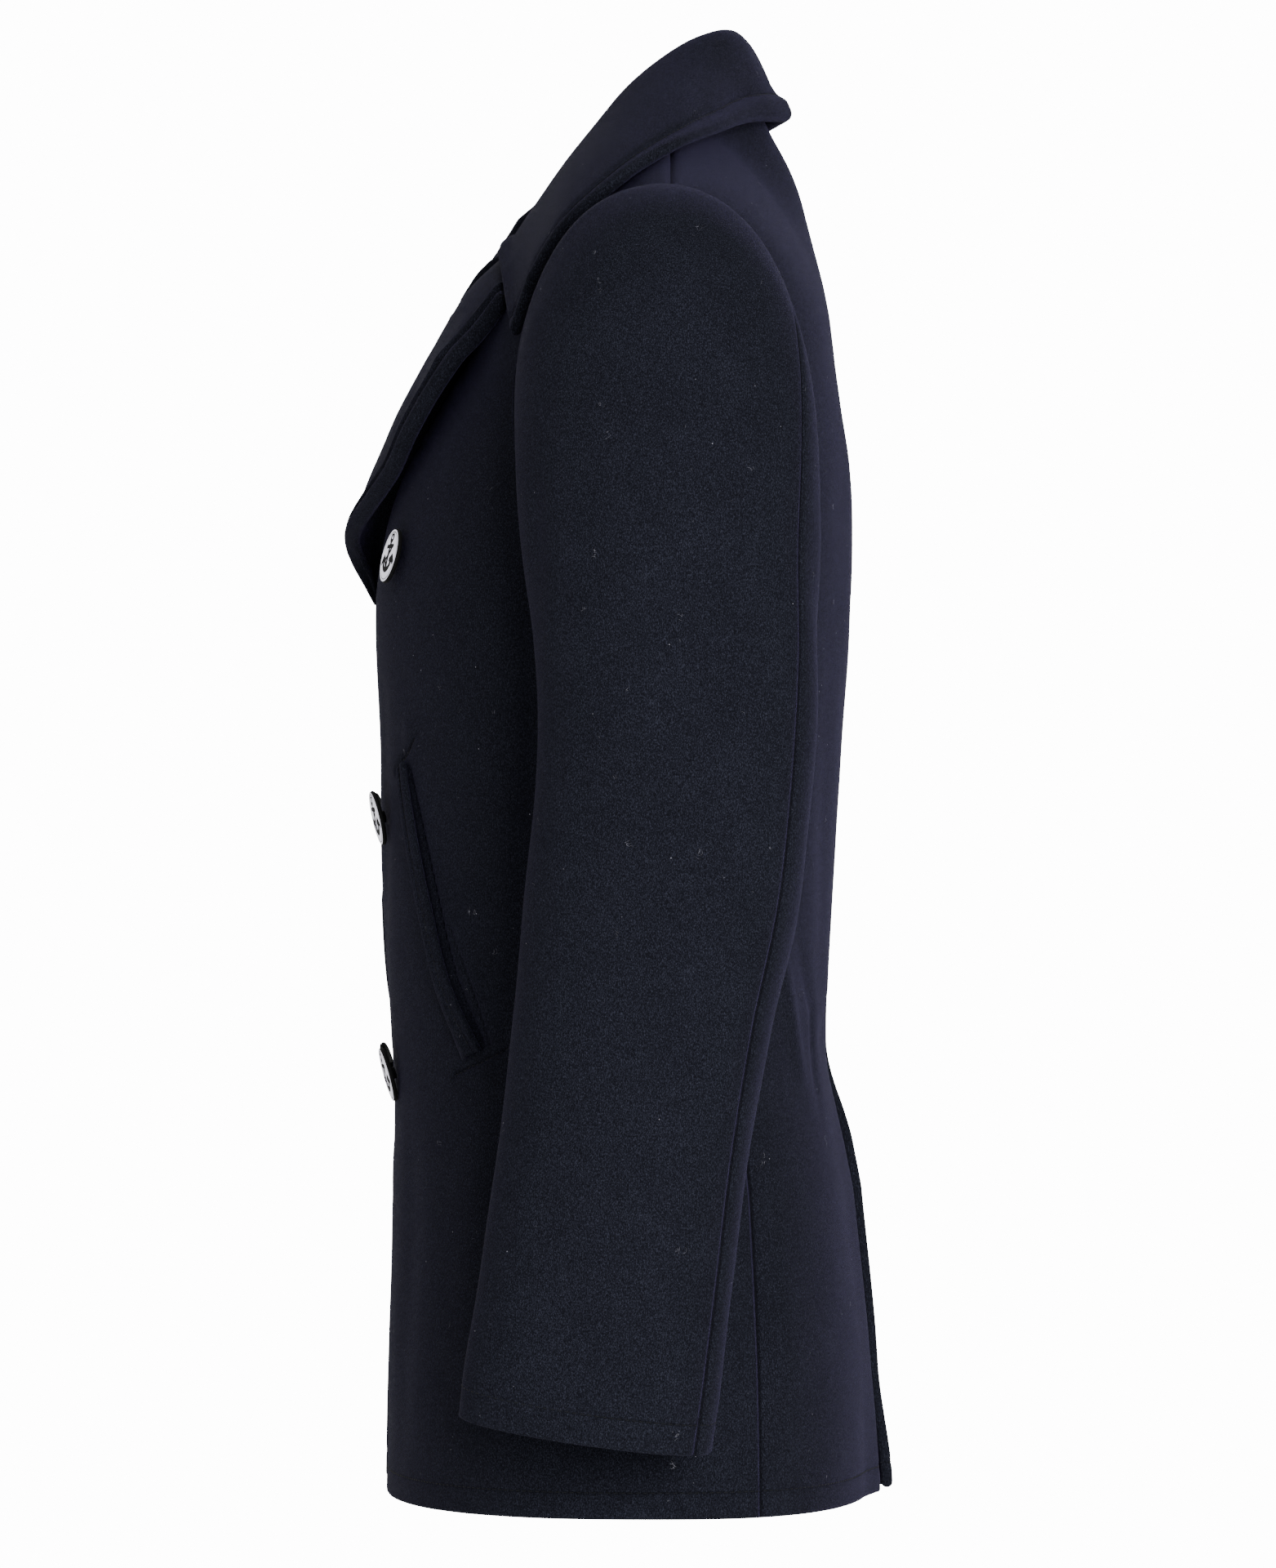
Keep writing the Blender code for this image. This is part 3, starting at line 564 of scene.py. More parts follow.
def makeMelton():  # wool melton, milled and sheared: matt and near black, pale at grazing edges, with painted shade along stitched lines, seams and slits
    material, tree, inputs = newMaterial("woolMeltonMilled", {
        "Roughness": melton["rough"], "Specular IOR Level": melton["gloss"],
        "Sheen Weight": melton["sheen"], "Sheen Roughness": melton["sheenRough"],
        "Sheen Tint": hexColour(melton["sheenTint"])})
    place = objectPlace(tree)
    drawn = addNode(tree, "Mapping", {"Scale": (1.0, 1.0, 0.55)}, {"Vector": place})
    grain = noise(tree, drawn.outputs["Vector"], melton["grain"], 3.0, 0.8)
    mottle = noise(tree, place, melton["mottle"], 3.0, 0.6)
    tone = maths(tree, "ADD", grain, window(tree, mottle, 0.3, 0.7, (-0.012, 0.012)))
    base = ramp(tree, tone, [(0.36, melton["dark"]), (0.51, melton["middle"]),
                             (0.68, melton["light"])])
    bend = noise(tree, place, melton["fibre"], 1.0, 0.5, 1.4)
    strand = maths(tree, "ABSOLUTE", maths(tree, "SUBTRACT", bend, value=0.5))
    strand = window(tree, strand, 0.0, 0.006, (1.0, 0.0))
    pieces = window(tree, noise(tree, place, melton["fibre"] * 1.6), 0.70, 0.74)
    fleck = addNode(tree, "TexVoronoi", {"Scale": 1000 / melton["fleck"]},
                    {"Vector": place})
    dot = window(tree, fleck.outputs["Distance"], 0.05, 0.09, (1.0, 0.0))
    few = addNode(tree, "SeparateColor", {}, {"Color": fleck.outputs["Color"]})
    dot = maths(tree, "MULTIPLY", dot, window(tree, few.outputs["Red"], 0.955, 0.97))
    lint = maths(tree, "MAXIMUM", maths(tree, "MULTIPLY", strand, pieces), dot)
    lint = maths(tree, "MULTIPLY", lint, value=0.75)
    line = addNode(tree, "Attribute", {"attribute_name": "line"}).outputs["Fac"]
    sunkLineShade = window(tree, line, 0.15, 1.1, (1.0, 0.0))
    # painted shade: the cloth is darkened toward a near black where a stitched line, seam or slit
    # sinks in
    base = toward(tree, base, melton["sunkLineShade"], maths(tree, "MULTIPLY", sunkLineShade, value=0.75))
    tree.links.new(toward(tree, base, melton["lint"], lint), inputs["Base Color"])
    fine = addNode(tree, "Bump", {"Strength": 0.75, "Distance": melton["napHeight"]},
                   {"Height": grain})
    low = addNode(tree, "Bump", {"Strength": 0.9, "Distance": melton["lineDepth"],
                                           "invert": True},
                  {"Height": sunkLineShade, "Normal": fine.outputs["Normal"]})
    tree.links.new(low.outputs["Normal"], inputs["Normal"])
    return material


meltonCloth = makeMelton()
print("melton made")


bodyCut = {
    "step": 0.0034, "wide": 0.31, "long": 0.70,  # spacing of the grid, about how large a half is
    "armOut": 0.12,  # the armhole is cut only this far out from the middle
    "pocketFine": ((0.080, 0.186, 0.0018), (0.207, 0.400, 0.0020)),  # closer lines at the pocket
    # a stitched line: distance from the edge, depth and half width of its dip
    "hemStitch": (0.013, 0.0003, 0.0015),
    "edgeStitch": (0.006, 0.0003, 0.0015),
    "ventTurn": 0.0032,
    "sideSeam": (0.0009, 0.0014, 0.0020), "backSeam": (0.0007, 0.0010, 0.0016),
    # how each face bends: seen from, places, half width, height
    "frontFolds": [
        ("side", [(-0.121, -0.281), (-0.112, -0.289)], 0.007, 0.0018),
        ("side", [(-0.050, -0.200), (-0.056, -0.290), (-0.060, -0.370)], 0.013, -0.0022),
        ("side", [(-0.078, -0.470), (-0.084, -0.560), (-0.086, -0.650)], 0.020, 0.0015),
        ("side", [(-0.030, -0.450), (-0.024, -0.560), (-0.018, -0.655)], 0.022, -0.0018),
        ("side", [(0.020, -0.430), (0.026, -0.520), (0.030, -0.640)], 0.018, 0.0014),
        ("front", [(0.070, -0.240), (0.060, -0.340), (0.030, -0.450)], 0.016, -0.0012),
        ("front", [(0.105, -0.470), (0.112, -0.560), (0.118, -0.650)], 0.018, -0.0016),
    ],
    "backFolds": [
        ("side", [(0.066, -0.370), (0.078, -0.415), (0.088, -0.462)], 0.009, 0.0026),
        ("side", [(0.082, -0.385), (0.092, -0.425), (0.095, -0.470)], 0.007, -0.0020),
        ("side", [(0.060, -0.470), (0.070, -0.560), (0.078, -0.650)], 0.018, 0.0018),
        ("back", [(0.125, -0.250), (0.110, -0.340), (0.085, -0.430)], 0.020, -0.0016),
        ("back", [(0.060, -0.090), (0.075, -0.180), (0.085, -0.270)], 0.022, 0.0012),
        ("back", [(0.030, -0.400), (0.060, -0.430), (0.100, -0.440)], 0.010, -0.0014),
    ],
}


def armholeHole(points):  # which places lie inside the armhole, and how its rim is drawn to it
    (my, mz), (hy, hz) = coat["armMiddle"], coat["armHalf"]
    y, z = points[..., 1] - my, points[..., 2] - mz
    r = np.sqrt((y / hy) ** 2 + (z / hz) ** 2)
    inside = (r < 1) & (np.abs(points[..., 0]) > bodyCut["armOut"])
    near = ~inside
    for axis in (0, 1):
        near = near | np.roll(near, 1, axis=axis) | np.roll(near, -1, axis=axis)
    rim = inside & near
    toY, toZ = my + y[rim] / r[rim], mz + z[rim] / r[rim]
    move = np.zeros_like(points)
    move[rim] = point(sideX(toY, toZ), toY, toZ) - points[rim]
    return inside, move


def bodyPanel(name, node, side, under, pointsOf, facing, stitched, folds, groove):
    fine = bodyCut["pocketFine"] if groove else (None, None)
    across = shares(bodyCut["wide"], bodyCut["step"], beside(bodyCut["edgeStitch"]), fine=fine[0])
    up = shares(bodyCut["long"], bodyCut["step"], beside(bodyCut["hemStitch"]), fine=fine[1])
    u, v = np.meshgrid(across, up)
    points = pointsOf(u, v, under)
    inside, move = armholeHole(points)
    slit = groove(points) if groove else None
    thick = coat["cloth"]
    if name == "backRight":  # the vent's edge is turned in, so it is twice as thick
        open_ = smooth((coat["vent"] - points[..., 2]) / 0.03)
        thick = thick + open_ * bodyCut["ventTurn"] * smooth(1 - edgeDistances(points)["left"] / 0.014)
    return makeShell(name, points * (side, 1, 1), thick, facing * side, node,
                     stitched, folds, (inside, move * (side, 1, 1)), slit)


pocket = {
    "top": (0.108, -0.298), "foot": (0.169, -0.442), "width": 0.019,
    "bend": (0.0, 0.0, -0.0012, -0.0038, 0.0),  # how the slit bows forward, top to foot
    "long": 0.157, "step": (0.0016, 0.0024), "slant": 0.009, "proud": 0.0014, "hump": 0.0030,
    "slit": 0.8,  # millimetres, half the width of the slit's opening, which is painted dark as shade
    "sink": 0.0022, "sinkHalf": 0.0016, "stitch": (0.0055, 0.0010, 0.0014), "flush": 0.45,
    # how far forward and how high: the bar above, the bar below, the bag behind
    "seams": [([(-0.1214, -0.3043), (-0.1092, -0.2869)], 0.0018),
              ([(-0.0911, -0.4545), (-0.0622, -0.4397)], 0.0018),
              ([(-0.0940, -0.3780), (-0.0803, -0.4147), (-0.0714, -0.4413)], 0.0006)],
}


def onFront(pairs):  # places on the front, from how far forward and how high they are
    y, z = columns(pairs, np.linspace(0, len(pairs) - 1, 13))
    return point(sideX(y, z), y, z)


def slitX(along):  # how far out the slit is, 0 at its top to 1 at its foot
    return mix(pocket["top"][0], pocket["foot"][0], along) + readRows(pocket["bend"], along * 4)


def pocketSlit(points):  # the slit, the stitched bars at its ends and the seam of the bag
    along = np.linspace(0, 1, 9)
    line = torsoAt(slitX(along) + 0.0008, mix(pocket["top"][1], pocket["foot"][1], along))
    far, share = nearLine(points, line)
    ends = fadeEnds(share, 0.04)
    dip = pocket["sink"] * hill(far, pocket["sinkHalf"]) * ends
    # painted shade: the marks darken the cloth in the slit, along the bars and along the bag's seam
    marks = far * 1000 / pocket["slit"] + 3 * (1 - ends)
    for pairs, depth in pocket["seams"]:
        off, share = nearLine(points, onFront(pairs))
        fade = fadeEnds(share, 0.06)
        dip = np.maximum(dip, depth * hill(off, pocket["sinkHalf"]) * fade)
        marks = np.minimum(marks, off * 600 + 0.2 + 3 * (1 - fade))
    points[:] = points + inwardOf(points, 0.02) * dip[..., None]
    return marks


hemLine, edgeLine = ("foot", *bodyCut["hemStitch"]), ("left", *bodyCut["edgeStitch"])
sideLine, backLine = ("right", *bodyCut["sideSeam"]), ("left", *bodyCut["backSeam"], coat["vent"])
panels = {  # form, facing, stitched lines, folds, what is cut in it
    "front": (frontPoint, 1, (hemLine, edgeLine, sideLine), bodyCut["frontFolds"], pocketSlit),
    "back": (backPoint, -1, (hemLine, sideLine, backLine), bodyCut["backFolds"], None),
}
shell = {}
for half, panel in panels.items():
    for sideName, side in sides.items():
        name = half + sideName
        shell[name] = bodyPanel(name, f"{half}_{sideName.lower()}", side,
                                name in ("frontRight", "backLeft"), *panel)
print("body made")


sleeve = {
    "step": 0.0034, "wide": 0.24, "round": 2.1,
    "underFrom": 60, "underTo": 240,  # degrees round the sleeve, from its top
    "cuffStitch": (0.015, 0.0003, 0.0015),
    "seams": (("left", 0.0010, 0.0010, 0.0018), ("right", 0.0010, 0.0010, 0.0018),
              ("foot", 0.0036, 0.0008, 0.0020)),
    "folds": [
        ("side", [(-0.044, -0.140), (-0.041, -0.200), (-0.047, -0.262)], 0.008, 0.0016),
        ("side", [(-0.052, -0.160), (-0.050, -0.215)], 0.006, -0.0012),
        ("side", [(-0.020, -0.300), (0.010, -0.330), (0.050, -0.335)], 0.016, -0.0014),
        ("side", [(-0.030, -0.380), (0.000, -0.400), (0.040, -0.395)], 0.018, 0.0012),
        ("side", [(0.000, -0.100), (0.004, -0.200), (-0.002, -0.300)], 0.026, 0.0012),
        ("side", [(-0.040, -0.520), (-0.045, -0.600)], 0.012, -0.0010),
        ("side", [(0.015, -0.470), (0.005, -0.600)], 0.014, -0.0010),
    ],
}
# rings of the left sleeve: outer x and z, inner x and z, front, back, drop of the back
rings = np.array([
    (0.2225, -0.0200, 0.2138, -0.2375, -0.0590, 0.0815, 0.0000),
    (0.2420, -0.0255, 0.2142, -0.2430, -0.0590, 0.0840, 0.0000),
    (0.2640, -0.0420, 0.2146, -0.2520, -0.0583, 0.0870, 0.0000),
    (0.2820, -0.0720, 0.2150, -0.2640, -0.0570, 0.0890, 0.0000),
    (0.2950, -0.1150, 0.2155, -0.2800, -0.0545, 0.0888, 0.0000),
    (0.3030, -0.1700, 0.2160, -0.3000, -0.0500, 0.0868, 0.0000),
    (0.3070, -0.2300, 0.2165, -0.3250, -0.0472, 0.0868, 0.0000),
    (0.3085, -0.2950, 0.2175, -0.3570, -0.0492, 0.0835, 0.0000),
    (0.3085, -0.3600, 0.2190, -0.3970, -0.0548, 0.0770, 0.0000),
    (0.3070, -0.4250, 0.2215, -0.4430, -0.0605, 0.0640, 0.0000),
    (0.3045, -0.4900, 0.2250, -0.4950, -0.0672, 0.0535, -0.0040),
    (0.3015, -0.5500, 0.2290, -0.5480, -0.0745, 0.0462, -0.0100),
    (0.2985, -0.6000, 0.2325, -0.5950, -0.0822, 0.0398, -0.0150),
    (0.2965, -0.6270, 0.2345, -0.6200, -0.0855, 0.0358, -0.0175),
])


def armholePoint(angle, out):
    turn = np.radians(angle)
    y = coat["armMiddle"][0] + (coat["armHalf"][0] - coat["seam"]) * np.sin(turn)
    z = coat["armMiddle"][1] + (coat["armHalf"][1] - coat["seam"]) * np.cos(turn)
    return point(sideX(y, z) + out, y, z)


def ringPoint(ring, angle):
    outerX, outerZ, innerX, innerZ, front, back, drop = ring
    turn = np.radians(angle)
    power = 2 / sleeve["round"]
    out = np.sign(np.cos(turn)) * np.abs(np.cos(turn)) ** power
    rear = np.sign(np.sin(turn)) * np.abs(np.sin(turn)) ** power
    return point(mix(innerX, outerX, (1 + out) / 2), mix(front, back, (1 + rear) / 2),
                 mix(innerZ, outerZ, (1 + out) / 2) + drop * rear / 2)


def sleeveGrid(start, stop):
    join = 2 * coat["joinTurn"]
    angles = mix(start - join, stop + join, shares(sleeve["wide"], sleeve["step"]))
    whole = [armholePoint(angles, -0.0025), armholePoint(angles, 0.0008)]
    whole += [ringPoint(ring, angles) for ring in rings]
    whole = np.array(whole)
    reach = reachOf(stepsOf(whole, 0).mean(axis=1))
    down = shares(reach[-1], sleeve["step"], far=beside(sleeve["cuffStitch"]))
    return readRows(whole, np.interp(down * reach[-1], reach, np.arange(len(whole))))


halves = {"Upper": (sleeve["underTo"] - 360, sleeve["underFrom"]),
          "Under": (sleeve["underFrom"], sleeve["underTo"])}
for half, (start, stop) in halves.items():
    grid = sleeveGrid(start, stop)
    for sideName, side in sides.items():
        name = "sleeve" + half + sideName
        shell[name] = makeShell(name, grid * (side, 1, 1), coat["cloth"], -side,
                                f"sleeve_{half.lower()}_{sideName.lower()}",
                                (("head", *sleeve["cuffStitch"]), *sleeve["seams"]),
                                sleeve["folds"])
print("sleeves made")


collar = {
    "step": 0.0030, "acrossStep": 0.0022, "half": 0.34, "across": 0.19, "foldShare": 0.36,
    "gorgeEase": 0.0032, "gorgeGap": 0.0016, "notchGap": 0.0026, "gorgeShare": 0.80,
    "notchShare": 0.66, "rollEase": -0.0003, "tuck": 0.0030, "sag": (0.009, 0.016), "roll": 0.010,
    "point": (0.1700, -0.0612, -0.0900),
    "rightLift": (0.0, -0.0330, 0.0005),  # the wearer's right side hangs further forward
    "edgeStitch": (0.015, 0.0010, 0.0032),
    "rim": (0.0020, 0.0048), "rimWidth": (0.012, 0.021), "backHalf": 0.07,  # at the sides, at the back
    # seam x and z, fold x y z, edge x y z, share of the lift; middle of the back to the gorge
    "rows": np.array([
        (0.0000, 0.0320, 0.0000, 0.0500, 0.0745, 0.0000, 0.0765, 0.0300, 0.0),
        (0.0220, 0.0310, 0.0220, 0.0470, 0.0742, 0.0290, 0.0690, 0.0280, 0.0),
        (0.0420, 0.0284, 0.0420, 0.0390, 0.0715, 0.0650, 0.0560, 0.0240, 0.0),
        (0.0600, 0.0251, 0.0570, 0.0250, 0.0650, 0.1120, 0.0410, 0.0145, 0.0),
        (0.0750, 0.0220, 0.0650, 0.0095, 0.0540, 0.1500, 0.0250, 0.0055, 0.0),
        (0.0702, 0.0120, 0.0675, -0.0055, 0.0405, 0.1680, 0.0080, -0.0040, 0.0),
        (0.0649, 0.0010, 0.0665, -0.0190, 0.0250, 0.1775, -0.0112, -0.0170, 0.0),
        (0.0591, -0.0110, 0.0630, -0.0340, 0.0065, 0.1772, -0.0368, -0.0400, 0.1),
        (0.0528, -0.0240, 0.0570, -0.0490, -0.0150, 0.1738, -0.0525, -0.0650, 0.4),
    ]),
}
lapel = {
    "step": 0.0022, "across": 0.105, "down": (0.24, 0.16),  # left, right
    "edgeStitch": (0.0100, 0.0034, 0.0019), "rightLast": 6,
    "ridge": (0.0152, 0.0026, 0.0040),  # beside the stitched line: distance, height, half width
    "tuck": 0.0022, "rim": 0.0042, "rimWidth": 0.0115, "reach": 0.0030, "taper": 0.0024,
    "rightBack": 0.006, "fullest": 0.45, "lead": 0.30,  # of the width: how far it stands, and leads
    # roll z, edge x y z, stand, share of the lift; gorge down to the break
    "rows": np.array([
        (-0.0370, 0.1200, -0.0700, -0.0655, 0.0300, 1.0),
        (-0.0550, 0.1280, -0.0830, -0.0835, 0.0410, 0.85),
        (-0.0750, 0.1260, -0.0950, -0.0963, 0.0415, 0.6),
        (-0.0950, 0.1210, -0.1065, -0.1119, 0.0415, 0.3),
        (-0.1150, 0.1070, -0.1190, -0.1326, 0.0390, 0.1),
        (-0.1350, 0.0840, -0.1285, -0.1511, 0.0350, 0.0),
        (-0.1550, 0.0500, -0.1410, -0.1665, 0.0310, 0.0),
        (-0.1720, 0.0200, -0.1478, -0.1770, 0.0260, 0.0),
        (-0.1860, -0.0050, -0.1492, -0.1860, 0.0210, 0.0),
        (-0.1980, -0.0260, -0.1464, -0.1948, 0.0140, 0.0),
        (-0.2070, -0.0460, -0.1404, -0.2050, 0.0100, 0.0),
        (-0.2135, -0.0640, -0.1350, -0.2150, 0.0050, 0.0),
    ]),
}


def liftOf(share, right):
    return np.asarray(share)[..., None] * np.array(collar["rightLift"]) * (1 if right else 0)


def lapelRow(place, share, right):
    rollZ, x, y, z, stand, lift = columns(lapel["rows"], place)
    footX = rollX(rollZ)
    if right:
        footX = np.maximum(footX, 0.007 - footX)
    footX = footX + lapel["tuck"]
    foot = torsoAt(footX, rollZ) + torsoOut(footX, rollZ) * collar["rollEase"]
    edge = point(x, y, z) + liftOf(lift, right)
    edge = edge + (0, lapel["reach"], -0.0008) * smooth(edge[..., :1] / 0.06)
    if right:
        edge[..., 1] += lapel["rightBack"] * smooth(place / lapel["rightLast"])
    width = np.linalg.norm(edge - foot, axis=-1)
    stand = np.minimum(stand, width * lapel["fullest"])
    out = unit(np.array([-0.10, -1.0, 0.10])) * stand[..., None]
    side = unit(foot - edge) * (width * lapel["lead"])[..., None]
    return bezier(foot, foot + out, edge + side + (0, -0.004, 0), edge, share)


def collarRow(station, share, right):
    seamX, seamZ, fx, fy, fz, ex, ey, ez, lift = columns(collar["rows"], station)
    seam = np.where((station <= 4)[..., None], torsoAt(seamX, seamZ, True), torsoAt(seamX, seamZ))
    off = coat["double"] + coat["seam"] + collar["gorgeEase"] * smooth((station - 5) / 2.5)
    foot = seam + inwardOf(seam, 0.010) * off[..., None] + (0, 0, -collar["tuck"])
    fold = point(fx, fy, fz) + liftOf(lift, right)
    edge = point(ex, ey, ez) + liftOf(lift, right)
    sag = mix(*collar["sag"], smooth(station / 3))[..., None]
    level = unit((edge - foot) * (1, 1, 0))
    rise = point(0.0, 0.0, (fold - foot)[..., 2] * 0.45)
    drop = point(0.0, 0.0, np.abs((fold - edge)[..., 2]) * 0.45) - level * sag
    up = bezier(foot, foot + rise, fold - level * collar["roll"], fold, share / collar["foldShare"])
    fall = (share - collar["foldShare"]) / (1 - collar["foldShare"])
    down = bezier(fold, fold + level * collar["roll"], edge + drop, edge, fall)
    return np.where((share < collar["foldShare"])[..., None], up, down)


def collarEnd(share, right):
    top = np.zeros_like(share)
    sewn = np.clip(share / collar["notchShare"], 0, 1)
    off = point(0.0, -collar["gorgeEase"] * (1 - sewn),
                mix(collar["gorgeGap"], collar["notchGap"], sewn))
    gorge = lapelRow(top, sewn * collar["gorgeShare"], right) + off
    tip = np.array(collar["point"]) + liftOf(1.0, right)
    free = np.clip((share - collar["notchShare"]) / (1 - collar["notchShare"]), 0, 1)[..., None]
    return gorge + (tip - gorge) * free


def collarHalf(along, share, right):
    last = len(collar["rows"]) - 1
    station = along * (last + 1)
    row = collarRow(np.minimum(station, last), share, right)
    end = np.clip(station - last, 0, 1)[..., None]
    made = row + (collarEnd(share, right) - row) * end
    return made * (-1 if right else 1, 1, 1)


def makeCollar():
    across = shares(collar["across"], collar["acrossStep"])
    half = shares(collar["half"], collar["step"])
    left = np.meshgrid(across, half)
    right = np.meshgrid(across, half[:0:-1])
    points = np.concatenate([collarHalf(right[1], right[0], True),
                             collarHalf(left[1], left[0], False)])
    away = edgeDistances(points)
    near = np.minimum(away["right"], np.minimum(away["foot"], away["head"]) + 0.004)
    atBack = hill(points[..., 0], collar["backHalf"])
    rim = mix(*collar["rim"], atBack) * smooth((1 - near / mix(*collar["rimWidth"], atBack)) / 0.6)
    points = points + gridNormals(points, -1) * rim[..., None]
    return makeShell("collarCloth", points, coat["double"] + rim, -1, "collar",
                     (("right", *collar["edgeStitch"]),), collarFolds)


collarFolds = [
    ("side", [(0.045, 0.055), (0.010, 0.030), (-0.020, 0.000)], 0.012, -0.0010),
    ("side", [(0.030, 0.050), (0.022, 0.025)], 0.008, 0.0008),
]
lapelFolds = [
    ("front", [(0.055, -0.075), (0.070, -0.110), (0.060, -0.140)], 0.014, -0.0010),
    ("front", [(0.100, -0.070), (0.105, -0.095)], 0.010, 0.0008),
    ("front", [(0.126, -0.087), (0.104, -0.098)], 0.005, 0.0020),  # the lapel's own buttonhole
]
shell["collar"] = makeCollar()


def makeLapel(name, node, last, right):
    across = shares(lapel["across"], lapel["step"])
    down = shares(lapel["down"][right], lapel["step"]) * last
    share, place = np.meshgrid(across, down)
    points = lapelRow(place, share, right)
    away = edgeDistances(points)
    rim = lapel["rim"] * smooth((1 - away["right"] / lapel["rimWidth"]) / 0.5)
    far, height, half = lapel["ridge"]
    ridge = height * hill(away["right"] - far, half) * smooth(away["left"] / 0.03)
    points = points - gridNormals(points, 1) * (rim * 0.35 + ridge)[..., None]
    thick = coat["double"] + rim + ridge
    if not right:
        thick = mix(lapel["taper"], thick, smooth((last - place) / 2.0))
    side = -1 if right else 1
    return makeShell(name, points * (side, 1, 1), thick, -side, node,
                     (("right", *lapel["edgeStitch"]),), lapelFolds)


shell["lapelLeft"] = makeLapel("lapelLeft", "lapel_left", len(lapel["rows"]) - 1, False)
shell["lapelRight"] = makeLapel("lapelRight", "lapel_right", lapel["rightLast"], True)
print("collar and lapels made")


def makeWelt(name, node, side):
    across, along = (shares(pocket[key], step)
                     for key, step in zip(("width", "long"), pocket["step"]))
    u, v = np.meshgrid(across, along)
    z = mix(pocket["top"][1], pocket["foot"][1], v) - pocket["slant"] * (1 - u)
    x = slitX(v) - pocket["width"] * (1 - u)
    bow = np.sin(math.pi * np.clip(v, 0, 1)) ** 0.5
    rise = smooth((u - pocket["flush"] + 0.25) / 0.40)  # its sewn side lies flush in the front
    hump = np.sin(math.pi * np.clip((u - 0.30) / 0.78, 0, 1))
    stand = (coat["cloth"] + pocket["proud"]) * (rise - 0.25) + pocket["hump"] * hump * bow
    points = torsoAt(x, z) + torsoOut(x, z) * stand[..., None]
    return makeShell(name, points * (side, 1, 1), coat["cloth"], -side, node,
                     (("right", *pocket["stitch"]),))


for sideName, side in sides.items():
    shell["welt" + sideName] = makeWelt("welt" + sideName, "welt_" + sideName.lower(), side)
print("welts made")


thread = {"stitch": 0.0028, "gap": 0.0008, "radius": 0.00028, "proud": 0.00005,
          "colour": "#0b0c12", "dark": "#06070a", "rough": 0.8, "gloss": 0.15, "twist": 0.8}


def makeThread():  # twisted polyester thread: a slight gloss on a dark cord
    material, tree, inputs = newMaterial("polyesterThread", {
        "Roughness": thread["rough"], "Specular IOR Level": thread["gloss"]})
    wave = noise(tree, objectPlace(tree), thread["twist"])
    colour = ramp(tree, wave, [(0.35, thread["dark"]), (0.65, thread["colour"])])
    tree.links.new(colour, inputs["Base Color"])
    return material


threadCord = makeThread()

buttonhole = {"middle": -0.0500, "length": 0.031, "half": 0.0026, "count": 64,
              "heights": (-0.326, -0.455)}


def makeStitches(name, lines, whole=False):  # whole: one stitch for each line
    rings, around = 4, 5
    made = []
    for places, outs in lines:
        reach = reachOf(stepsOf(places, 0))
        pitch = thread["stitch"] + thread["gap"]
        starts = [0.0] if whole else np.arange(pitch / 2, reach[-1] - pitch, pitch)
        length = reach[-1] if whole else thread["stitch"]
        for start in starts:
            t = start + length * np.array([0.0, 0.22, 0.78, 1.0])
            centre = between(t, reach, places)
            out = unit(between(t, reach, outs))
            ahead = unit(np.gradient(centre, axis=0))
            side = np.cross(ahead, out)
            size = np.array([0.35, 1.0, 1.0, 0.35]) * thread["radius"]
            sink = np.array([-1.0, 0.0, 0.0, -1.0]) * thread["radius"] * 1.2 + thread["proud"]
            turn = np.arange(around) * 2 * math.pi / around
            loop = (out[:, None] * np.cos(turn)[None, :, None]
                    + side[:, None] * np.sin(turn)[None, :, None]) * size[:, None, None]
            made.append(centre[:, None] + out[:, None] * sink[:, None, None] + loop)
    tube = tubeFaces(rings, around, True)
    starts = range(0, len(made) * rings * around, rings * around)
    faces = [[start + k for k in face] for start in starts for face in tube]
    piece = buildMesh(name, np.array(made), faces, threadCord, {})
    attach(piece, "root")
    print(name, len(made), "stitches")


stitchRows = {  # pieces, edge, stitched line, and from where to where along it
    "stitchesHem": (("frontLeft", "frontRight", "backLeft", "backRight"), "foot",
                    bodyCut["hemStitch"], 0.0, 1.0),
    "stitchesFront": (("frontLeft",), "left", bodyCut["edgeStitch"], 0.01, 0.64),
    "stitchesCuffs": (("sleeveUpperLeft", "sleeveUnderLeft", "sleeveUpperRight",
                       "sleeveUnderRight"), "head", sleeve["cuffStitch"], 0.0, 1.0),
    "stitchesCollar": (("collar",), "right", collar["edgeStitch"], 0.02, 0.98),
    "stitchesLapels": (("lapelLeft", "lapelRight"), "right", lapel["edgeStitch"], 0.03, 0.97),
    "stitchesWelts": (("weltLeft", "weltRight"), "right", pocket["stitch"], 0.03, 0.97),
}
for name, (keys, edge, line, start, stop) in stitchRows.items():
    makeStitches(name, [insideEdge(shell[k], edge, line[0], start, stop) for k in keys])


def buttonholeLines():  # worked round two slots, under the buttons beside the free front edge
    outer, outs = (shell["frontLeft"][key].reshape(-1, 3) for key in ("outer", "normals"))
    lines = []
    for height in buttonhole["heights"]:
        for k in range(buttonhole["count"]):
            turn = 2 * math.pi * k / buttonhole["count"]
            stretch = buttonhole["length"] / 2 - buttonhole["half"]
            cx = buttonhole["middle"] + np.clip(math.cos(turn) * 1.6, -1, 1) * stretch
            out = Vector((math.cos(turn) * (abs(math.cos(turn)) > 0.62), 0, math.sin(turn)))
            out.normalize()
            near, far = (np.array((cx, 0, height)) + np.array(out) * d
                         for d in (0.0006, buttonhole["half"]))
            spot = np.array([near, far])
            found = [np.argmin(((outer - s)[:, ::2] ** 2).sum(axis=1)) for s in spot]
            spot[:, 1] = outer[found, 1] - 0.0001
            lines.append((spot, outs[found]))
    return lines


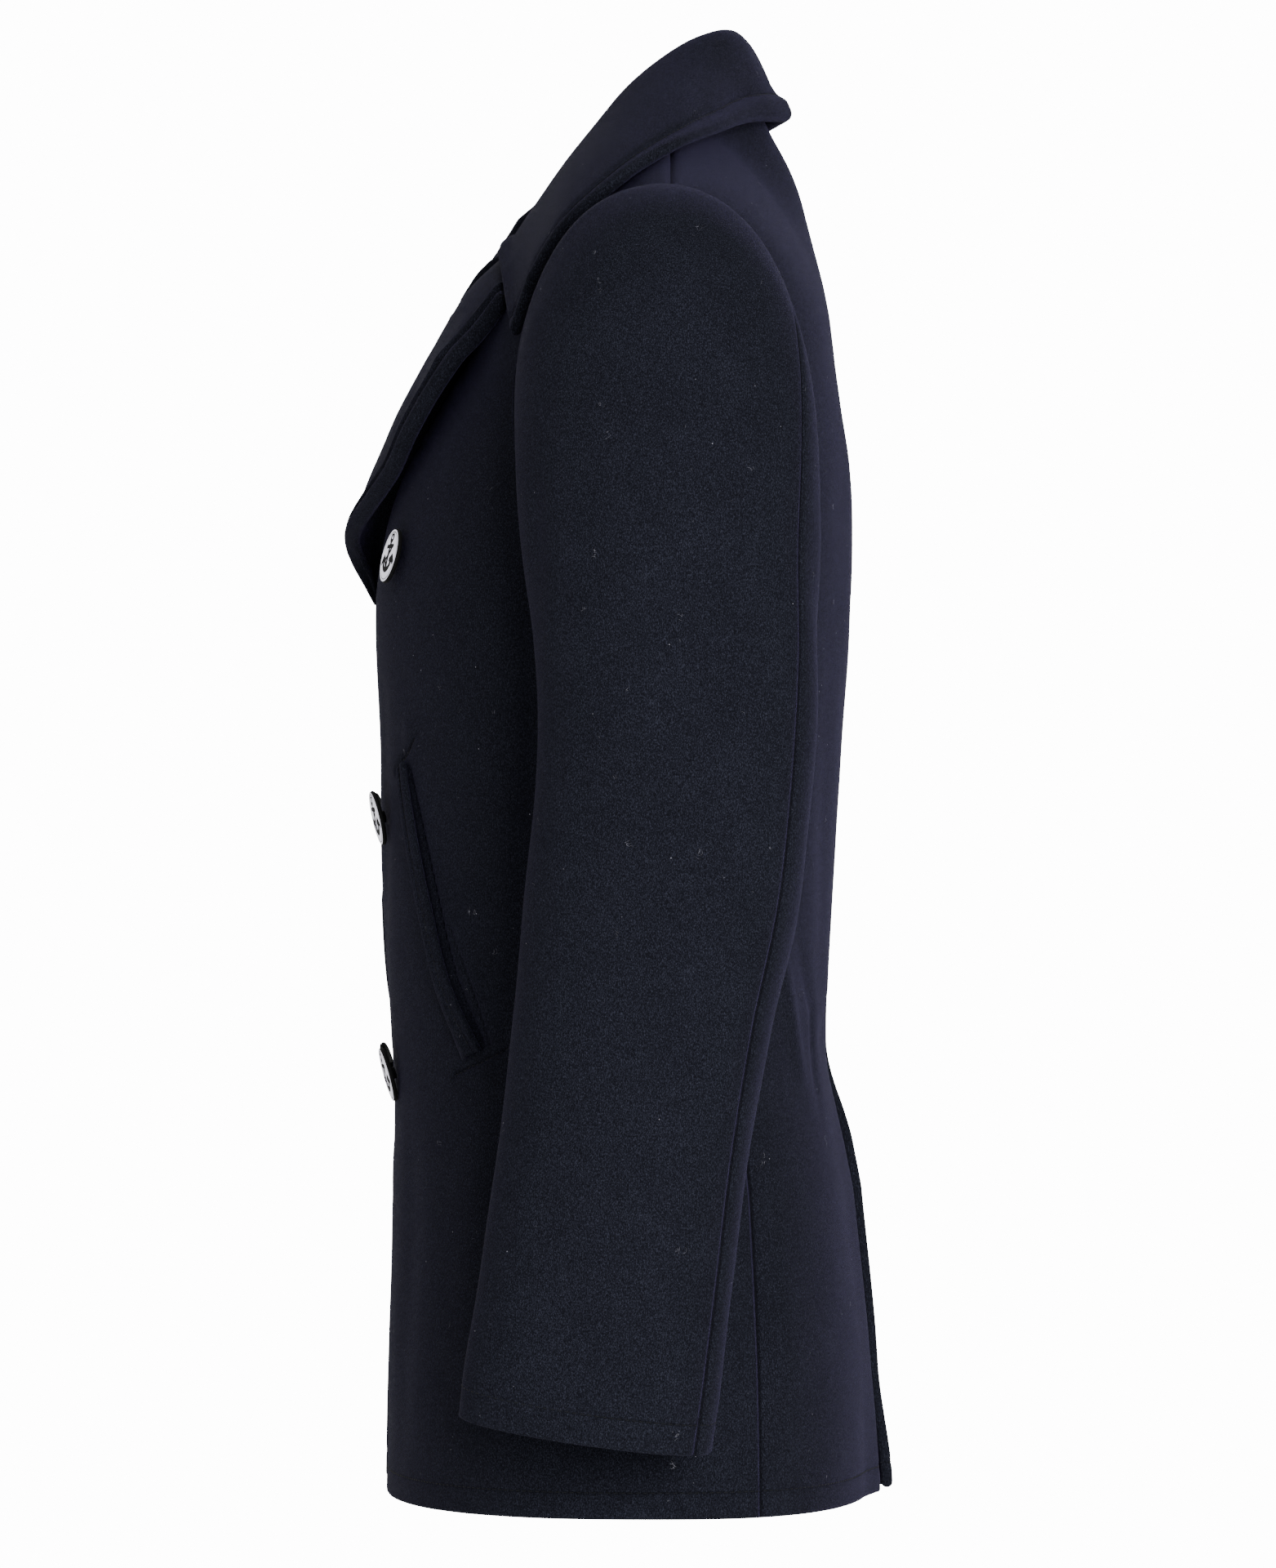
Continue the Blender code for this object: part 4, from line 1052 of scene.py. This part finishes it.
def barLines():  # the bars at the ends of each pocket, on the front's own face
    lines = []
    for sideName, side in sides.items():
        outer, outs = (shell["front" + sideName][key].reshape(-1, 3) for key in ("outer", "normals"))
        for pairs, _ in pocket["seams"][:2]:
            goal = onFront(pairs) * (side, 1, 1)
            nearest = [np.argmin(((outer - g) ** 2).sum(axis=1)) for g in goal]
            out = outs[nearest]
            depth = ((outer[nearest] - goal) * out).sum(axis=1, keepdims=True)
            lines.append((goal + out * depth, out))
    return lines


makeStitches("stitchesBars", barLines())
makeStitches("stitchesButtonholes", buttonholeLines(), whole=True)


button = {
    "across": 0.028, "shank": 0.0026, "shankHalf": 0.0030, "gap": 0.0007,
    "rim": 0.0022, "crown": 0.0028,
    # x, z and the nod of the face in degrees
    "places": {"button_left_1": (0.092, -0.197, 4.0), "button_left_2": (0.062, -0.326, -12.0),
               "button_left_3": (0.062, -0.455, -13.0), "button_right_1": (-0.088, -0.197, 2.0),
               "button_right_2": (-0.055, -0.326, -10.0),
               "button_right_3": (-0.055, -0.455, -12.0)},
}


silverWearAndShade = {
    "worn": 3.0, "scratch": 0.5,  # mm between worn patches, and between scratches
    "tones": [(0.15, "#d9d6e6"), (0.35, "#5a595e"), (0.50, "#050506")],  # bare, then blackened in the relief; the same black is painted shade on the outer edge and underneath
}


def makeSilver():  # silver-plated zinc, die cast and polished, blackened where the relief is low; its outer edge and underside are painted dark as shade
    material, tree, inputs = newMaterial("silverPlatedZinc", {"Specular IOR Level": 0.10})
    place = objectPlace(tree)
    blackenedAndShaded = addNode(tree, "Attribute", {"attribute_name": "blackenedAndShaded"}).outputs["Fac"]
    worn = window(tree, noise(tree, place, silverWearAndShade["worn"], 4.0), 0.25, 0.6, (1.0, 0.9))
    dark = maths(tree, "MULTIPLY", blackenedAndShaded, worn)
    low = addNode(tree, "Bump", {"Strength": 0.15, "Distance": 0.00008},
                  {"Height": noise(tree, place, silverWearAndShade["scratch"])})
    for key, source in {"Base Color": ramp(tree, dark, silverWearAndShade["tones"]),
                        "Roughness": window(tree, dark, 0.2, 0.6, (0.20, 0.90)),
                        "Metallic": window(tree, dark, 0.2, 0.6, (1.0, 0.0)),
                        "Normal": low.outputs["Normal"]}.items():
        tree.links.new(source, inputs[key])
    return material


silver = makeSilver()


def anchorCut(x, y):  # 1 in the lines of an anchor and its rope, 0 off them; in radii
    def bar(x0, y0, x1, y1, half):
        dx, dy = x1 - x0, y1 - y0
        t = np.clip(((x - x0) * dx + (y - y0) * dy) / (dx * dx + dy * dy), 0, 1)
        return half - np.hypot(x - x0 - t * dx, y - y0 - t * dy)
    ring = 0.055 - np.abs(np.hypot(x, y - 0.55) - 0.13)
    arc = np.where(y < -0.10, 0.080 - np.abs(np.hypot(x, y + 0.02) - 0.46), -1.0)
    rope = np.where(np.abs(y + 0.02) < 0.36, 0.050 - 0.6 * np.abs(x - 0.20 * np.sin(8.5 * y)), -1.0)
    parts = [bar(0, 0.42, 0, -0.46, 0.085), bar(-0.32, 0.27, 0.32, 0.27, 0.060), ring, arc, rope]
    for side in (-1, 1):  # the two flukes
        parts += [bar(side * 0.45, -0.06, side * 0.60, -0.24, 0.075),
                  bar(side * 0.45, -0.06, side * 0.27, -0.16, 0.075)]
    return smooth(np.maximum.reduce(parts) / 0.02 + 0.5)


def buttonFace(r, a):  # height over the rim, and how dark it is: blackened in the relief, painted shade at the outer edge
    cut = anchorCut(r * np.cos(a) / 1.15, r * np.sin(a) / 1.15 - 0.02) * (r < 0.81)
    ring = hill(r - 0.87, 0.020)
    height = (button["crown"] - button["rim"]) * (1 - r**2) - 0.00022 * cut - 0.00020 * ring
    height = height - 0.0008 * smooth((r - 0.965) / 0.035)
    # the engraving and the ring are blackened; the outer edge is painted dark as shade
    return height, np.clip(cut + 0.55 * ring + smooth((r - 0.955) / 0.012), 0, 1)


def makeButton(node, x, z, nod):
    half = button["across"] / 2
    rings = np.concatenate([[0.001], np.linspace(0.03, 0.82, 44), np.linspace(0.835, 1.0, 18)])
    turn = np.arange(180) * 2 * math.pi / 180
    r, a = np.meshgrid(rings, turn, indexing="ij")
    height, blackenedAndShaded = buttonFace(r, a)
    face = point(r * np.cos(a) * half, r * np.sin(a) * half,
                 button["shank"] + button["rim"] + height)
    profile = [(1.0, 0.0008), (0.97, 0.0002), (0.93, 0.0), (0.5, -0.0001),
               (button["shankHalf"] / half, 0.0), (button["shankHalf"] / half, -button["shank"]),
               (0.02, -button["shank"])]
    under = [point(np.cos(turn) * s * half, np.sin(turn) * s * half,
                   np.full_like(turn, button["shank"] + h)) for s, h in profile]
    points = np.concatenate([face, np.array(under)])
    # painted shade: the side wall and the underside get the darkest tone
    blackenedAndShaded = np.concatenate([blackenedAndShaded, np.full((len(profile), len(turn)), 1.0)])
    facing = torsoOut(np.array(x), np.array(z))
    foot = torsoAt(np.array(x), np.array(z))
    if x < coat["frontEdge"]:
        foot[1] += float(frontSink(-foot[0], foot[2])) - 2 * coat["seam"]
    else:
        foot[1] -= float(edgeLift(foot[0], foot[2]))
    facing[2] += math.tan(math.radians(nod))
    facing = unit(facing)
    turned = Vector(facing).to_track_quat("Z", "Y").to_matrix()
    spot = foot + facing * button["gap"]
    flat = points.reshape(-1, 3) @ np.array(turned).T + spot
    faces = tubeFaces(len(points), len(turn), False)
    made = buildMesh("button" + node[7:].title().replace("_", ""), flat, faces, silver,
                     {"blackenedAndShaded": blackenedAndShaded.ravel()})
    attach(made, "root")
    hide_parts(node)


for node, (x, z, nod) in button["places"].items():
    makeButton(node, x, z, nod)
print("buttons made")


studio = {
    "floorZ": -1.45, "floorHalf": 5.0, "floor": "#f1f0ee", "floorGlow": 0.45, "surround": "#ffffff",
    "surroundPower": 0.36, "glossPower": 1.5, "sweepPower": 14.0,
    # place, size in metres, power in watts
    "lamps": {"key": ((3.0, 0.9, 0.1), 1.4, 158), "front": ((0.3, -3.3, 0.5), 1.8, 8),
              "back": ((0.4, 3.2, 0.5), 1.8, 1), "far": ((-3.2, -0.2, 0.6), 1.8, 35),
              "top": ((0.2, 0.1, 2.4), 2.0, 6)},
    "aim": (0, 0, -0.3),
}
mesh = bpy.data.meshes.new("floor")
ring = [(studio["floorHalf"] * math.cos(k * math.pi / 32), studio["floorHalf"]
         * math.sin(k * math.pi / 32), studio["floorZ"]) for k in range(64)]
mesh.from_pydata(ring, [], [tuple(range(64))])
floorTone = hexColour(studio["floor"])
mesh.materials.append(newMaterial("matPaperBackdrop", {  # flat, even, no gloss, lit from below
    "Base Color": floorTone, "Roughness": 0.95, "Emission Color": floorTone,
    "Emission Strength": studio["floorGlow"]})[0])
inScene("floor", mesh)


def aim(made, place, direction):
    made.location = place
    made.rotation_euler = direction.to_track_quat("-Z", "Y").to_euler()


for name, (place, size, power) in studio["lamps"].items():
    lamp = bpy.data.lights.new(name, "AREA")
    lamp.size = size
    lamp.energy = power
    aim(inScene(name, lamp), place, Vector(studio["aim"]) - Vector(place))

world = bpy.data.worlds.new("surround")  # a bright white sweep behind, and a softer fill around
world.use_nodes = True
sky = world.node_tree.nodes["Background"]
sky.inputs["Color"].default_value = hexColour(studio["surround"])
rays = addNode(world.node_tree, "LightPath", {}).outputs
gloss = window(world.node_tree, rays["Is Glossy Ray"], 0.0, 1.0,
               (studio["surroundPower"], studio["glossPower"]))
power = window(world.node_tree, rays["Is Camera Ray"], 0.0, 1.0, (0.0, studio["sweepPower"]))
world.node_tree.links.new(maths(world.node_tree, "MAXIMUM", gloss, power), sky.inputs["Strength"])
bpy.context.scene.world = world

view = {"distance": 4.2, "across": 0.0006, "eye": -0.351, "aim": -0.3092, "frameHeight": 0.80256,
        "sensor": 36.0}
lens = bpy.data.cameras.new("camera")
lens.sensor_width = view["sensor"]
lens.lens = view["sensor"] * view["distance"] / view["frameHeight"]
lens.clip_end = 60
camera = inScene("camera", lens)
aim(camera, (view["distance"], view["across"], view["eye"]),
    Vector((-view["distance"], 0, view["aim"] - view["eye"])))
bpy.context.scene.camera = camera
print("studio set")
